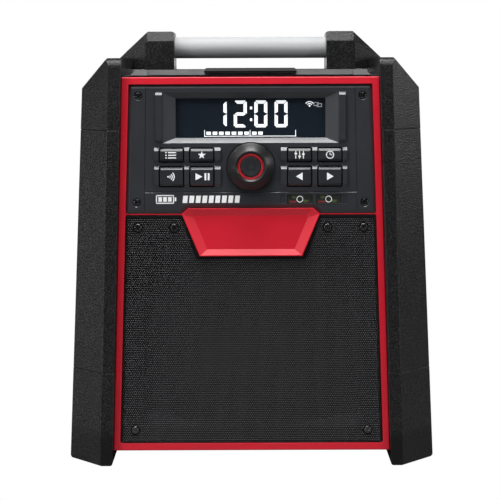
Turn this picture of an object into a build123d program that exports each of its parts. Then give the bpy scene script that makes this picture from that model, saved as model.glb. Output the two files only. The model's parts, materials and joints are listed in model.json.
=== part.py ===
"""Jobsite radio: a tapered cabinet between two hollow side guards, with a bar handle on top.

Frame: +Z up, front towards -Y, origin on the floor under the middle of the cabinet.
Pieces are drawn from a datum that lies -FLOOR above the floor, and save() lifts them by
that much. The front face leans back by TILT, and the rear face mirrors it. Heights on
either face are measured along the face from the datum, and depths along its outward normal.
"""

from build123d import *
import os
from math import cos, radians, sin, tan

os.makedirs("parts", exist_ok=True)

# ---- driving dimensions, millimetres and degrees ----
TILT = 3.0  # lean of the front and rear faces
FACE_Y = 142.0  # front and rear faces at datum level, from the middle
FLOOR = -3.0  # height of the floor from the datum
GUARD_PROUD = 8.0  # guards stand this far in front of the faces

WALL = 3.5  # cabinet walls
GUARD_WALL = 4.0
SEAM = 0.1  # between parts that are fixed to each other
GAP = 0.3  # between parts that move past each other
RUNNING = 0.05  # radial clearance of a pin in its hole

CABINET_LOW = 11.4
CABINET_TOP = 364.8
DECK_TOP = 370.0  # the raised top deck
DECK_HALF = 112.4
DECK_BEVEL = 4.6
DECK_FRONT = -119.4

BEZEL_LOW = 11.4
BEZEL_HIGH = 363.8
BEZEL_DEPTH = 6.0
OPENING_LOW = 18.2
OPENING_HIGH = 357.2
BAR_LOW = 235.2  # thin bar between grille and control panel
BAR_HIGH = 236.3
BAR_SUNK = 3.0
BADGE_TOP = (58.8, 241.4)
BADGE_SHOULDER = (64.8, 236.3)
BADGE_FOOT = (48.2, 196.5)
BADGE_TRAY = ((52.2, 234.6), (53.4, 232.6), (41.1, 202.8))  # top, shoulder, foot
BADGE_PROUD = 0.8
BADGE_TRAY_DEPTH = 2.4

PANEL_FRONT = -1.5  # depth of the control panel's face
PANEL_BEVEL = (3.4, 1.8)  # width and depth of the bevel round the panel
FLANGE_FRONT = -6.2
FLANGE_BACK = -9.2
WINDOW = (140.4, 37.0)
FUNNEL = (164.8, 47.4)
FUNNEL_FLOOR = -6.0
WINDOW_HEIGHT = 325.8
BAR_RISE = 2.4  # raised bars around the display and the buttons
BAR_RAMP = 3.1
BUTTON_COLUMNS = (-74.1, -45.7, 45.7, 74.1)
BUTTON_ROWS = ((291.2, 14.2), (271.1, 19.8))  # centre height, bar height
BUTTON_WIDTH = 22.4
BUTTON_GAP = 0.8
BUTTON_TRAVEL = 1.0
BUTTON_TOP = 1.5
KNOB_HEIGHT = 280.4
KNOB_RADIUS = 22.2
HUB_RADIUS = 8.0
LAMP_COLUMNS = (46.0, 73.0)
LAMP_WINDOW = (24.0, 8.8)
LAMP_HEIGHT = 249.7
BOARD_BACK = -24.0
BOARD_THICK = 1.6
PANEL_SCREWS = ((104.7, 346.5), (106.9, 246.8))
GRILLE_SCREWS = ((106.1, 223.3), (72.1, 223.2), (110.4, 30.8))

GRILLE_FRONT = -1.6
GRILLE_SHEET = 1.0
DIMPLE = 1.0  # the grille's screws sit this deep
FIELD = (33.5, 212.0)  # low and high edges of the grille's pressed field
FIELD_MARGIN = 20.0  # from the side of the opening
FIELD_SLOPES = (9.0, 14.0, 36.0)  # widths of its side, lower and upper slopes
FIELD_SUNK = (0.2, 3.0)  # depth of the field in its middle and at its sides
BAFFLE_FRONT = -10.0
BAFFLE_THICK = 6.0
DRIVER = (56.0, 142.0)  # centre of each loudspeaker driver
DRIVER_HOLE = 45.0
RADIATOR_HEIGHT = 54.0
RADIATOR_HOLE = (150.0, 46.0)

GUARD_STRIP = 11.8  # width of a guard's front strip
GUARD_TOP = 381.0
GUARD_TOP_HALF = 132.8  # where a guard's flat top ends and its bevel starts
GUARD_BEVEL_LOW = 353.0
SEAM_LOW = 87.0
SEAM_HIGH = 314.3
PAD_DROP = 0.8  # rubber pads stand below the foot caps
FOOT_ROUND = 4.0

HANDLE_Y = 8.0
HANDLE_Z = 391.8
TUBE_RADIUS = 10.65
TUBE_BORE = 8.65
ARM_DEPTH = 48.0
ARM_TOP = 407.9
ARM_BEVEL = 9.5
ARM_INNER = 76.5
ARM_SHOULDER = 103.2
ARM_OUTER = 132.4

LID_HALF = 95.7
LID_LOW = 365.1
HINGE = (-22.0, 367.5)  # y and z of the lid's hinge axis
HINGE_PIN = 1.2
HINGE_BARREL = 2.45
HINGE_LUGS = ((71.0, 81.0),)
LATCH_HALF = 42.7
LATCH_PIN_AT = (-100.0, 369.2)
LATCH_PIN = 1.0
TUB_X = 88.0
TUB_Y = (-95.0, -29.0)
TUB_FLOOR = 302.0

BAY_HALF = 58.0
BAY_HEIGHTS = (40.0, 170.0)
BAY_DEPTH = 62.0
CORD_RECESS = (190.0, 104.0)
CORD_RECESS_HEIGHT = 246.0
CORD_RECESS_DEPTH = 30.0
GLAND = (62.0, 216.0)
GLAND_BORE = 3.6
REAR_WALL = -2.0  # depth of the rear wall's outside
HOUSING_SCREWS = ((104.0, 340.0), (114.0, 182.0), (118.0, 31.0))

SPLIT_Y = -14.0  # where the front and rear housings meet
WELL_HALF = 74.0  # well for the fingers under the handle's tube
WELL_Y = (-10.0, 50.0)
WELL_FLOOR = 345.0
HANDLE_SCREWS = [(x, HANDLE_Y + y) for x in (-88.5, 88.5) for y in (-16, 16)]

AUX_AT = (34.0, 336.0)  # x and z of the sockets in the storage tub
USB_AT = (-34.0, 336.0)

PAD_X = 151.0
PAD_PLACES = (-88.0, 88.0)
PAD_SIZE = (70.0, 20.0)


# ---- faces and tapers ----
LEAN = radians(TILT)
FACE = Plane(origin=(0, -FACE_Y, 0), x_dir=(1, 0, 0), z_dir=(0, -cos(LEAN), sin(LEAN)))
REAR = Plane(origin=(0, FACE_Y, 0), x_dir=(-1, 0, 0), z_dir=(0, cos(LEAN), sin(LEAN)))


def front_y(z, proud=0.0):
    """y at height z of the plane that lies proud of the front face."""
    return -FACE_Y + z * tan(LEAN) - proud / cos(LEAN)


def guard_inner(z):
    """Half the distance between the two guards at height z."""
    return 131.6 - 0.0313 * z


def guard_outer(z):
    """Half the overall width at height z."""
    return 174.9 - 0.0448 * z


def opening_half(v):
    """Half the width of the bezel's opening at height v on the face."""
    return 125.3 - 0.0326 * v


def trapezoid(low, high, half):
    """Corners of a symmetric trapezoid, where half gives the half width at a height."""
    return [(-half(low), low), (half(low), low), (half(high), high), (-half(high), high)]


def guard_outline(z, inset=0.0):
    """Plan of the right guard at height z, drawn inwards by inset."""
    inner = guard_inner(z) + inset
    strip = guard_inner(z) + GUARD_STRIP - inset * tan(radians(22.5))
    outer = guard_outer(z) - inset
    front = front_y(z, GUARD_PROUD) + inset
    shoulder = front + outer - strip
    return [(inner, front), (strip, front), (outer, shoulder), (outer, -shoulder),
            (strip, -front), (inner, -front)]


def cabinet_outline(z, inset=0.0):
    """Plan of the cabinet at height z. Its front is open, so an inset plan runs past it."""
    half = guard_inner(z) - SEAM - inset
    front = front_y(z, -BEZEL_DEPTH - SEAM) - (20 if inset else 0)
    back = -front_y(z, REAR_WALL) - inset
    return [(-half, front), (half, front), (half, back), (-half, back)]


def tapered_block(outline, low, high, inset=0.0):
    """A solid between the plans that outline gives at heights low and high."""
    with BuildPart() as block:
        for z in (low, high):
            with BuildSketch(Plane.XY.offset(z)):
                Polygon(*outline(z, inset), align=None)
        loft(ruled=True)
    return block.part


def save(part, name):
    """Lifts a finished piece from the datum, labels it and writes its STEP file."""
    standing = part.moved(Location((0, 0, -FLOOR)))
    standing.label = name
    export_step(standing, f"parts/{name}.step")


def mirrored(part):
    """The same piece on the other side of the cabinet."""
    with BuildPart() as twin:
        mirror(part, about=Plane.YZ)
    return twin.part


def save_pair(part, name):
    """Writes a right-hand piece and its left-hand twin."""
    save(mirrored(part), f"{name}_left")
    save(part, f"{name}_right")


# ---- cabinet shells ----
def deck_block(low):
    """The raised top deck from height low up, with bevelled edges."""
    rise = DECK_TOP - CABINET_TOP
    with BuildPart() as deck:
        for z, inset in ((CABINET_TOP, 0.0), (DECK_TOP, DECK_BEVEL)):
            with BuildSketch(Plane.XY.offset(z)):
                Rectangle(2 * (DECK_HALF - inset), 2 * (-DECK_FRONT - inset))
        loft(ruled=True)
        if low > CABINET_TOP:
            with BuildSketch(Plane.XY.offset(CABINET_TOP)):
                Rectangle(3 * DECK_HALF, 3 * DECK_HALF)
            extrude(amount=low - CABINET_TOP, mode=Mode.SUBTRACT)
    return deck.part


def cabinet_shell(keep):
    """Front or rear half of the cabinet, split just behind the lid's hinge."""
    with BuildPart() as shell:
        add(tapered_block(cabinet_outline, CABINET_LOW, CABINET_TOP))
        add(tapered_block(cabinet_outline, CABINET_LOW + WALL, CABINET_TOP - WALL, WALL),
            mode=Mode.SUBTRACT)
        add(deck_block(CABINET_TOP))
        split(bisect_by=Plane.XZ.offset(-SPLIT_Y), keep=keep)
    return shell.part


def room_half(v):
    """Half width of the room inside the cabinet's side walls."""
    return guard_inner(v) - SEAM - WALL


def ledge_half(v):
    """Half width of a ledge that runs into the side walls."""
    return room_half(v) + WALL / 2


def make_front_housing():
    baffle_back = BAFFLE_FRONT - BAFFLE_THICK - SEAM
    with BuildPart() as housing:
        add(cabinet_shell(Keep.TOP))
        # lid bay and the mouth of the storage tub
        with BuildSketch(Plane.XY.offset(CABINET_TOP)):
            Polygon((-LID_HALF - GAP, -160), (LID_HALF + GAP, -160),
                    (LID_HALF + GAP, HINGE[0] + 3.4), (-LID_HALF - GAP, HINGE[0] + 3.4), align=None)
        extrude(amount=20, mode=Mode.SUBTRACT)
        tub_middle = (TUB_Y[0] + TUB_Y[1]) / 2
        tub_depth = TUB_Y[1] - TUB_Y[0]
        with BuildSketch(Plane.XY.offset(CABINET_TOP - 2 * WALL)):
            with Locations((0, tub_middle)):
                Rectangle(2 * TUB_X + 2 * SEAM, tub_depth + 2 * SEAM)
        extrude(amount=4 * WALL, mode=Mode.SUBTRACT)
        # ledge ring behind the baffle, rails beside the control panel
        with BuildSketch(FACE.offset(baffle_back - 3)):
            Polygon(*trapezoid(16, 244, ledge_half), align=None)
            Polygon(*trapezoid(24, 232, lambda v: room_half(v) - 8), align=None, mode=Mode.SUBTRACT)
        extrude(amount=3)
        with BuildSketch(FACE.offset(baffle_back - 3)):
            Polygon(*trapezoid(243, 358, ledge_half), align=None)
            Polygon(*trapezoid(242, 359, lambda v: room_half(v) - 17), align=None,
                    mode=Mode.SUBTRACT)
        extrude(amount=3)
        # rib above the baffle
        with BuildSketch(FACE.offset(baffle_back)):
            Polygon(*trapezoid(241, 244, ledge_half), align=None)
        extrude(amount=FLANGE_BACK - SEAM - baffle_back)
        # bosses for the panel screws, drilled
        with BuildSketch(FACE.offset(baffle_back)):
            for u, v in PANEL_SCREWS:
                with Locations((u, v), (-u, v)):
                    Circle(4.0)
        extrude(amount=FLANGE_BACK - SEAM - baffle_back)
        with BuildSketch(FACE.offset(baffle_back - 4)):
            for u, v in PANEL_SCREWS:
                with Locations((u, v), (-u, v)):
                    Circle(1.7)
        extrude(amount=12, mode=Mode.SUBTRACT)
        # lugs for the lid's hinge
        for low, high in HINGE_LUGS:
            for side in (-1, 1):
                with BuildSketch(Plane.YZ.offset(side * (low + high) / 2)):
                    with Locations(HINGE):
                        Circle(HINGE_BARREL)
                        Circle(HINGE_PIN + RUNNING, mode=Mode.SUBTRACT)
                    with Locations((HINGE[0] + 3.0, HINGE[1] - 0.2)):
                        Rectangle(3.2, 4.9)
                extrude(amount=(high - low) / 2, both=True)
        # edge behind the lid leaves room for the open lid
        with BuildSketch(Plane.YZ):
            Polygon((HINGE[0] + 3.4 - 0.1, DECK_TOP - 3), (HINGE[0] + 3.4 + 3, DECK_TOP + 0.1),
                    (HINGE[0] + 3.4 - 0.1, DECK_TOP + 0.1), align=None)
        extrude(amount=LID_HALF, both=True, mode=Mode.SUBTRACT)
    save(housing.part, "front_housing")


def make_rear_housing():
    post = 26.0 - CABINET_LOW - WALL
    with BuildPart() as housing:
        add(cabinet_shell(Keep.BOTTOM))
        # walls of the cord recess, then the recess itself
        with BuildSketch(REAR.offset(REAR_WALL)):
            with Locations((0, CORD_RECESS_HEIGHT)):
                RectangleRounded(CORD_RECESS[0] + 2 * WALL, CORD_RECESS[1] + 2 * WALL, 10)
        extrude(amount=-CORD_RECESS_DEPTH - WALL)
        with BuildSketch(REAR):
            with Locations((0, CORD_RECESS_HEIGHT)):
                RectangleRounded(CORD_RECESS[0], CORD_RECESS[1], 7)
        extrude(amount=REAR_WALL - CORD_RECESS_DEPTH, mode=Mode.SUBTRACT)
        # two cleats that the cord is wound round
        for side in (-1, 1):
            with BuildSketch(REAR.offset(REAR_WALL - CORD_RECESS_DEPTH - 1)):
                with Locations((side * 34, CORD_RECESS_HEIGHT)):
                    RectangleRounded(8, 52, 3)
            extrude(amount=22)
            with BuildSketch(REAR.offset(REAR_WALL - CORD_RECESS_DEPTH + 21)):
                with Locations((side * 39, CORD_RECESS_HEIGHT)):
                    RectangleRounded(18, 62, 3)
            extrude(amount=4)
        # mouth of the battery bay
        with BuildSketch(REAR.offset(1)):
            with Locations((0, sum(BAY_HEIGHTS) / 2)):
                RectangleRounded(2 * BAY_HALF, BAY_HEIGHTS[1] - BAY_HEIGHTS[0], 5)
        extrude(amount=-8, mode=Mode.SUBTRACT)
        # hole for the cord gland
        with BuildSketch(REAR.offset(REAR_WALL - CORD_RECESS_DEPTH)):
            with Locations(GLAND):
                Circle(6.1)
        extrude(amount=-8, mode=Mode.SUBTRACT)
        # posts under the two floor boards, drilled for their screws
        with BuildSketch(Plane.XY.offset(CABINET_LOW + WALL)):
            with Locations(*[(x, y) for x in (-112, -14, 14, 112) for y in (8, 52)]):
                Circle(4)
        extrude(amount=post)
        # sunk seats and holes for the housing screws
        for u, v in HOUSING_SCREWS:
            for side in (-1, 1):
                with BuildSketch(REAR.offset(REAR_WALL)):
                    with Locations((side * u, v)):
                        Circle(4.6)
                extrude(amount=-1.6, mode=Mode.SUBTRACT)
                with BuildSketch(REAR.offset(REAR_WALL)):
                    with Locations((side * u, v)):
                        Circle(1.9)
                extrude(amount=-8, mode=Mode.SUBTRACT)
        # well for the fingers under the handle's tube
        with BuildSketch(Plane.XY.offset(WELL_FLOOR - WALL)):
            with Locations((0, sum(WELL_Y) / 2)):
                RectangleRounded(2 * (WELL_HALF + WALL), WELL_Y[1] - WELL_Y[0] + 2 * WALL, 9)
        extrude(amount=CABINET_TOP - WELL_FLOOR)
        with BuildSketch(Plane.XY.offset(WELL_FLOOR)):
            with Locations((0, sum(WELL_Y) / 2)):
                RectangleRounded(2 * WELL_HALF, WELL_Y[1] - WELL_Y[0], 6)
        extrude(amount=DECK_TOP - WELL_FLOOR + 1, mode=Mode.SUBTRACT)
        # holes for the handle screws
        with BuildSketch(Plane.XY.offset(CABINET_TOP - 2 * WALL)):
            with Locations(*HANDLE_SCREWS):
                Circle(2.7)
        extrude(amount=30, mode=Mode.SUBTRACT)
    save(housing.part, "rear_housing")


def make_housing_screws():
    """Long screws through the rear wall."""
    with BuildPart() as screws:
        for u, v in HOUSING_SCREWS:
            for side in (-1, 1):
                add(screw(REAR.offset(REAR_WALL - 1.6), side * u, v, 4.0, 1.8, 1.7, 20))
    save(screws.part, "housing_screws")


def screw(plane, u, v, head_radius, head_height, shank_radius, length):
    """A round-headed screw whose head sits on plane at (u, v), with a cross recess."""
    with BuildPart() as one:
        with BuildSketch(plane):
            with Locations((u, v)):
                Circle(head_radius)
        extrude(amount=head_height)
        crown = one.edges().filter_by(GeomType.CIRCLE)
        crown = crown.sort_by(lambda e: (e.center() - plane.origin).dot(plane.z_dir))[-1]
        fillet(crown, head_height * 0.55)
        with BuildSketch(plane.offset(head_height)):
            with Locations((u, v)):
                Rectangle(head_radius * 1.1, head_radius * 0.26)
                Rectangle(head_radius * 0.26, head_radius * 1.1)
        extrude(amount=-head_height * 0.6, mode=Mode.SUBTRACT)
        with BuildSketch(plane):
            with Locations((u, v)):
                Circle(shank_radius)
        extrude(amount=-length)
    return one.part


# ---- front bezel with its bare badge tray ----
def symmetric(points):
    """Closes a half outline, given on the right from top to bottom, over the middle line."""
    return points + [(-u, v) for u, v in reversed(points)]


def make_front_bezel():
    with BuildPart() as bezel:
        with BuildSketch(FACE.offset(-BEZEL_DEPTH)) as frame:
            Polygon(*trapezoid(BEZEL_LOW, BEZEL_HIGH, lambda v: guard_inner(v) - SEAM), align=None)
            Polygon(*trapezoid(OPENING_LOW, BAR_LOW, opening_half), align=None, mode=Mode.SUBTRACT)
            Polygon(*trapezoid(BAR_HIGH, OPENING_HIGH, opening_half), align=None,
                    mode=Mode.SUBTRACT)
            fillet(frame.vertices().filter_by_position(Axis.Y, OPENING_LOW - 1, OPENING_LOW + 1),
                   radius=2.5)
            fillet(frame.vertices().filter_by_position(Axis.Y, BAR_LOW - 0.1, BAR_HIGH + 0.1),
                   radius=2.0)
        extrude(amount=BEZEL_DEPTH)
        with BuildSketch(FACE.offset(-BAR_SUNK)):
            Polygon(*trapezoid(BAR_LOW - 2.0, BAR_HIGH + 2.0, opening_half), align=None)
        extrude(amount=BAR_SUNK + 1, mode=Mode.SUBTRACT)
        with BuildSketch(FACE.offset(-BEZEL_DEPTH)):
            Polygon(*symmetric([BADGE_TOP, BADGE_SHOULDER, BADGE_FOOT]), align=None)
        extrude(amount=BEZEL_DEPTH + BADGE_PROUD)
        lip = 0.7
        with BuildSketch(FACE.offset(-BADGE_TRAY_DEPTH)):
            Polygon(*symmetric(list(BADGE_TRAY)), align=None)
        with BuildSketch(FACE.offset(BADGE_PROUD + 0.05)):
            Polygon(*symmetric([(BADGE_TOP[0] - lip / 2, BADGE_TOP[1] - lip),
                                (BADGE_SHOULDER[0] - lip, BADGE_SHOULDER[1] - lip / 2),
                                (BADGE_FOOT[0] - lip, BADGE_FOOT[1] + lip)]), align=None)
        loft(ruled=True, mode=Mode.SUBTRACT)
        rim = bezel.edges().filter_by(lambda e: abs(FACE.to_local_coords(e.center()).Z) < 0.01)
        outer_rim = rim.filter_by(lambda e: not -124 < FACE.to_local_coords(e.center()).X < 124
                                  or FACE.to_local_coords(e.center()).Y > 360
                                  or FACE.to_local_coords(e.center()).Y < 15)
        fillet(outer_rim, radius=1.0)
    save(bezel.part, "front_bezel")


# ---- control panel ----
def ramp_bar(centre, width, height, rise, ramp):
    """A raised bar on the panel whose upper and lower ends are ramps."""
    with BuildPart() as bar:
        with BuildSketch(FACE.offset(PANEL_FRONT)):
            with Locations(centre):
                Rectangle(width, height)
        extrude(amount=-0.5)
        for depth, shrink in ((PANEL_FRONT, 0.0), (PANEL_FRONT + rise, 2 * ramp)):
            with BuildSketch(FACE.offset(depth)):
                with Locations(centre):
                    Rectangle(width, height - shrink)
        loft(ruled=True)
    return bar.part


def make_control_panel():
    low = BAR_HIGH + 0.3
    high = OPENING_HIGH - 0.3
    half = lambda v: opening_half(v) - 0.25
    notch = [(BADGE_SHOULDER[0] + 0.5, low), (BADGE_TOP[0] + 0.2, BADGE_TOP[1] + 0.3)]
    outline = [(half(high), high), (half(low), low)] + notch
    with BuildPart() as panel:
        with BuildSketch(FACE.offset(FLANGE_FRONT)):
            Polygon(*symmetric(outline), align=None)
        extrude(amount=PANEL_FRONT - PANEL_BEVEL[1] - FLANGE_FRONT)
        with BuildSketch(FACE.offset(PANEL_FRONT - PANEL_BEVEL[1])):
            Polygon(*symmetric(outline), align=None)
        with BuildSketch(FACE.offset(PANEL_FRONT)):
            Polygon(*symmetric(outline), align=None)
            offset(amount=-PANEL_BEVEL[0], kind=Kind.INTERSECTION)
        loft(ruled=True)
        corners = panel.edges().filter_by(lambda e: abs(FACE.to_local_coords(e.center()).X) > 110
                                          and FACE.to_local_coords(e.center()).Y < low + 5
                                          and abs(e.tangent_at(0.5).Y) > 0.9)
        fillet(corners, radius=2.5)
        with BuildSketch(FACE.offset(FLANGE_BACK)):
            Polygon(*trapezoid(low - 0.6, high + 2.5, lambda v: half(v) + 2.2), align=None)
        extrude(amount=FLANGE_FRONT - FLANGE_BACK)
        # raised bars beside the display and under the buttons
        for side in (-1, 1):
            add(ramp_bar((side * 85.7, 326.2), 6.0, 47.2, BAR_RISE, 2.7))
            for height, tall in BUTTON_ROWS:
                add(ramp_bar((side * 59.2, height), 62.0, tall, BAR_RISE, BAR_RAMP))
        # shallow funnel down to the display window, then the window
        with BuildSketch(FACE.offset(PANEL_FRONT + 0.01)):
            with Locations((0, WINDOW_HEIGHT + 0.3)):
                Rectangle(*FUNNEL)
        with BuildSketch(FACE.offset(FUNNEL_FLOOR)):
            with Locations((0, WINDOW_HEIGHT)):
                Rectangle(*WINDOW)
        loft(ruled=True, mode=Mode.SUBTRACT)
        with BuildSketch(FACE.offset(FUNNEL_FLOOR)):
            with Locations((0, WINDOW_HEIGHT)):
                Rectangle(*WINDOW)
        extrude(amount=FLANGE_BACK - FUNNEL_FLOOR - 1, mode=Mode.SUBTRACT)
        # button holes
        with BuildSketch(FACE.offset(BUTTON_TOP + 2)):
            for height, tall in BUTTON_ROWS:
                with Locations(*[(u, height) for u in BUTTON_COLUMNS]):
                    RectangleRounded(BUTTON_WIDTH + 2 * BUTTON_GAP, tall + 0.2, 1.6)
        extrude(amount=-20, mode=Mode.SUBTRACT)
        # knob hole with a shallow seat
        with BuildSketch(FACE.offset(PANEL_FRONT)):
            with Locations((0, KNOB_HEIGHT)):
                Circle(KNOB_RADIUS + 0.8)
        extrude(amount=-0.8, mode=Mode.SUBTRACT)
        with BuildSketch(FACE.offset(PANEL_FRONT)):
            with Locations((0, KNOB_HEIGHT)):
                Circle(HUB_RADIUS + 0.4)
        extrude(amount=-12, mode=Mode.SUBTRACT)
        # lamp windows and the small pads beside them
        with BuildSketch(FACE.offset(PANEL_FRONT)):
            with Locations(*[(u, LAMP_HEIGHT) for u in LAMP_COLUMNS]):
                Rectangle(*LAMP_WINDOW)
        extrude(amount=-12, mode=Mode.SUBTRACT)
        with BuildSketch(FACE.offset(PANEL_FRONT)):
            with Locations((29.8, LAMP_HEIGHT), (88.7, LAMP_HEIGHT)):
                Rectangle(4.4, 8.4)
        extrude(amount=-0.7, mode=Mode.SUBTRACT)
        # sunk seats and holes for the panel screws
        for u, v in PANEL_SCREWS:
            with BuildSketch(FACE.offset(PANEL_FRONT)):
                with Locations((u, v), (-u, v)):
                    Circle(4.4)
            extrude(amount=-3, mode=Mode.SUBTRACT)
            with BuildSketch(FACE.offset(PANEL_FRONT)):
                with Locations((u, v), (-u, v)):
                    Circle(1.8)
            extrude(amount=-12, mode=Mode.SUBTRACT)
        # styling grooves: one beside each row of screws
        groove = 0.45
        with BuildSketch(FACE.offset(PANEL_FRONT)):
            for side in (-1, 1):
                Polygon((side * (97.5 - groove), high), (side * (97.5 + groove), high),
                        (side * (100 + groove), low), (side * (100 - groove), low), align=None)
        extrude(amount=-0.6, mode=Mode.SUBTRACT)
        # groove over the lamp windows, its lower side a ramp
        with BuildSketch(FACE.offset(PANEL_FRONT + 0.01)):
            with Locations((0, 256.5)):
                Rectangle(199.6, 1.2)
        with BuildSketch(FACE.offset(PANEL_FRONT - 0.7)):
            with Locations((0, 256.9)):
                Rectangle(199.6, 0.3)
        loft(ruled=True, mode=Mode.SUBTRACT)
        # posts that carry the control board
        with BuildSketch(FACE.offset(FLANGE_BACK)):
            with Locations(*[(u, v) for u in (-93, 93) for v in (256, 312)]):
                Circle(3.0)
        extrude(amount=BOARD_BACK + BOARD_THICK + SEAM - FLANGE_BACK)
    save(panel.part, "control_panel")


def make_front_screws():
    """Screws of the control panel and of the grille."""
    with BuildPart() as screws:
        for u, v in PANEL_SCREWS:
            for side in (-1, 1):
                add(screw(FACE.offset(PANEL_FRONT - 3), side * u, v, 3.6, 2.0, 1.6, 16))
        for u, v in GRILLE_SCREWS:
            for side in (-1, 1):
                add(screw(FACE.offset(GRILLE_FRONT - DIMPLE), side * u, v, 3.6, 1.8, 1.6, 11))
    save(screws.part, "front_screws")


def make_display():
    with BuildPart() as lens:
        with BuildSketch(FACE.offset(FLANGE_BACK - SEAM)):
            with Locations((0, WINDOW_HEIGHT)):
                Rectangle(WINDOW[0] + 6, WINDOW[1] + 5)
        extrude(amount=-1.8)
        # raised middle that fills the window
        with BuildSketch(FACE.offset(FLANGE_BACK - SEAM)):
            with Locations((0, WINDOW_HEIGHT)):
                Rectangle(WINDOW[0] - 2 * SEAM, WINDOW[1] - 2 * SEAM)
        extrude(amount=FUNNEL_FLOOR - 0.3 - FLANGE_BACK + SEAM)
    save(lens.part, "display_lens")
    with BuildPart() as module:
        with BuildSketch(FACE.offset(FLANGE_BACK - 2 * SEAM - 1.8)):
            with Locations((0, WINDOW_HEIGHT)):
                Rectangle(WINDOW[0] + 10, WINDOW[1] + 8)
        extrude(amount=-6)
        # connector tail at the back
        with BuildSketch(FACE.offset(FLANGE_BACK - 8)):
            with Locations((-40, WINDOW_HEIGHT)):
                Rectangle(30, 6)
        extrude(amount=BOARD_BACK + BOARD_THICK - FLANGE_BACK + 8 + SEAM)
    save(module.part, "display_module")


def make_button(name, u, row):
    height, tall = BUTTON_ROWS[row]
    cap_tall = tall - 2.4
    with BuildPart() as button:
        with BuildSketch(FACE.offset(FLANGE_BACK - GAP)):
            with Locations((u, height)):
                RectangleRounded(BUTTON_WIDTH, cap_tall, 1.3)
        extrude(amount=BUTTON_TOP - 2.2 - FLANGE_BACK + GAP)
        with BuildSketch(FACE.offset(BUTTON_TOP - 2.2)):
            with Locations((u, height)):
                RectangleRounded(BUTTON_WIDTH, cap_tall, 1.3)
        with BuildSketch(FACE.offset(BUTTON_TOP)):
            with Locations((u, height)):
                RectangleRounded(BUTTON_WIDTH - 1.4, cap_tall - 4.4, 1.0)
        loft()
        # collar behind the panel, and the stem over the switch
        with BuildSketch(FACE.offset(FLANGE_BACK - GAP)):
            with Locations((u, height)):
                Rectangle(BUTTON_WIDTH + 4.0, tall + 1.8)
        extrude(amount=-1.5)
        with BuildSketch(FACE.offset(FLANGE_BACK - GAP)):
            with Locations((u, height)):
                Rectangle(5, 4)
        extrude(amount=-8)
    save(button.part, f"{name}_button")


def make_control_board():
    front = BOARD_BACK + BOARD_THICK
    with BuildPart() as board:
        with BuildSketch(FACE.offset(BOARD_BACK)):
            with Locations((0, 297.5)):
                Rectangle(194, 108)
        extrude(amount=BOARD_THICK)
        # one switch behind each button
        with BuildSketch(FACE.offset(front)):
            for height, tall in BUTTON_ROWS:
                with Locations(*[(u, height) for u in BUTTON_COLUMNS]):
                    Rectangle(6.2, 6.2)
        extrude(amount=FLANGE_BACK - GAP - 8 - BUTTON_TRAVEL - GAP - front)
        # ribbon connectors on the back
        with BuildSketch(FACE.offset(BOARD_BACK)):
            with Locations((-60, 262), (60, 262)):
                Rectangle(24, 6)
        extrude(amount=-5)
    save(board.part, "control_board")
    with BuildPart() as lamps:
        for u in LAMP_COLUMNS:
            with BuildSketch(FACE.offset(front + SEAM)):
                with Locations((u - 6, LAMP_HEIGHT), (u + 6, LAMP_HEIGHT)):
                    Circle(1.5)
            extrude(amount=-6.5 - front)
    save(lamps.part, "charge_lamps")
    # clock cell: a holder open to the back, and the coin in it
    with BuildPart() as cell:
        with BuildSketch(FACE.offset(BOARD_BACK - SEAM)):
            with Locations((0, 262)):
                Rectangle(24, 22)
        extrude(amount=-5)
        with BuildSketch(FACE.offset(BOARD_BACK - SEAM - 5)):
            with Locations((0, 262)):
                Circle(10.2)
        extrude(amount=3.4, mode=Mode.SUBTRACT)
        with BuildSketch(FACE.offset(BOARD_BACK - SEAM - 5)):
            with Locations((0, 262)):
                Circle(10.0)
        extrude(amount=3.2)
    save(cell.part, "clock_cell")


def make_charge_lenses():
    with BuildPart() as lenses:
        with BuildSketch(FACE.offset(PANEL_FRONT - 4)):
            with Locations(*[(u, LAMP_HEIGHT) for u in LAMP_COLUMNS]):
                Rectangle(LAMP_WINDOW[0] - 2 * SEAM, LAMP_WINDOW[1] - 2 * SEAM)
        extrude(amount=3.8)
    save(lenses.part, "charge_lenses")


# ---- knob, its ring, and the power button in its middle ----
KNOB_AXIS_PLANE = Plane(origin=FACE.from_local_coords(Vector(0, KNOB_HEIGHT, 0)),
                        x_dir=(1, 0, 0), z_dir=FACE.z_dir)
KNOB_SECTION = Plane(origin=KNOB_AXIS_PLANE.origin, x_dir=(1, 0, 0), z_dir=-KNOB_AXIS_PLANE.y_dir)
KNOB_AXIS = Axis(origin=KNOB_AXIS_PLANE.origin, direction=KNOB_AXIS_PLANE.z_dir)


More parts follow.
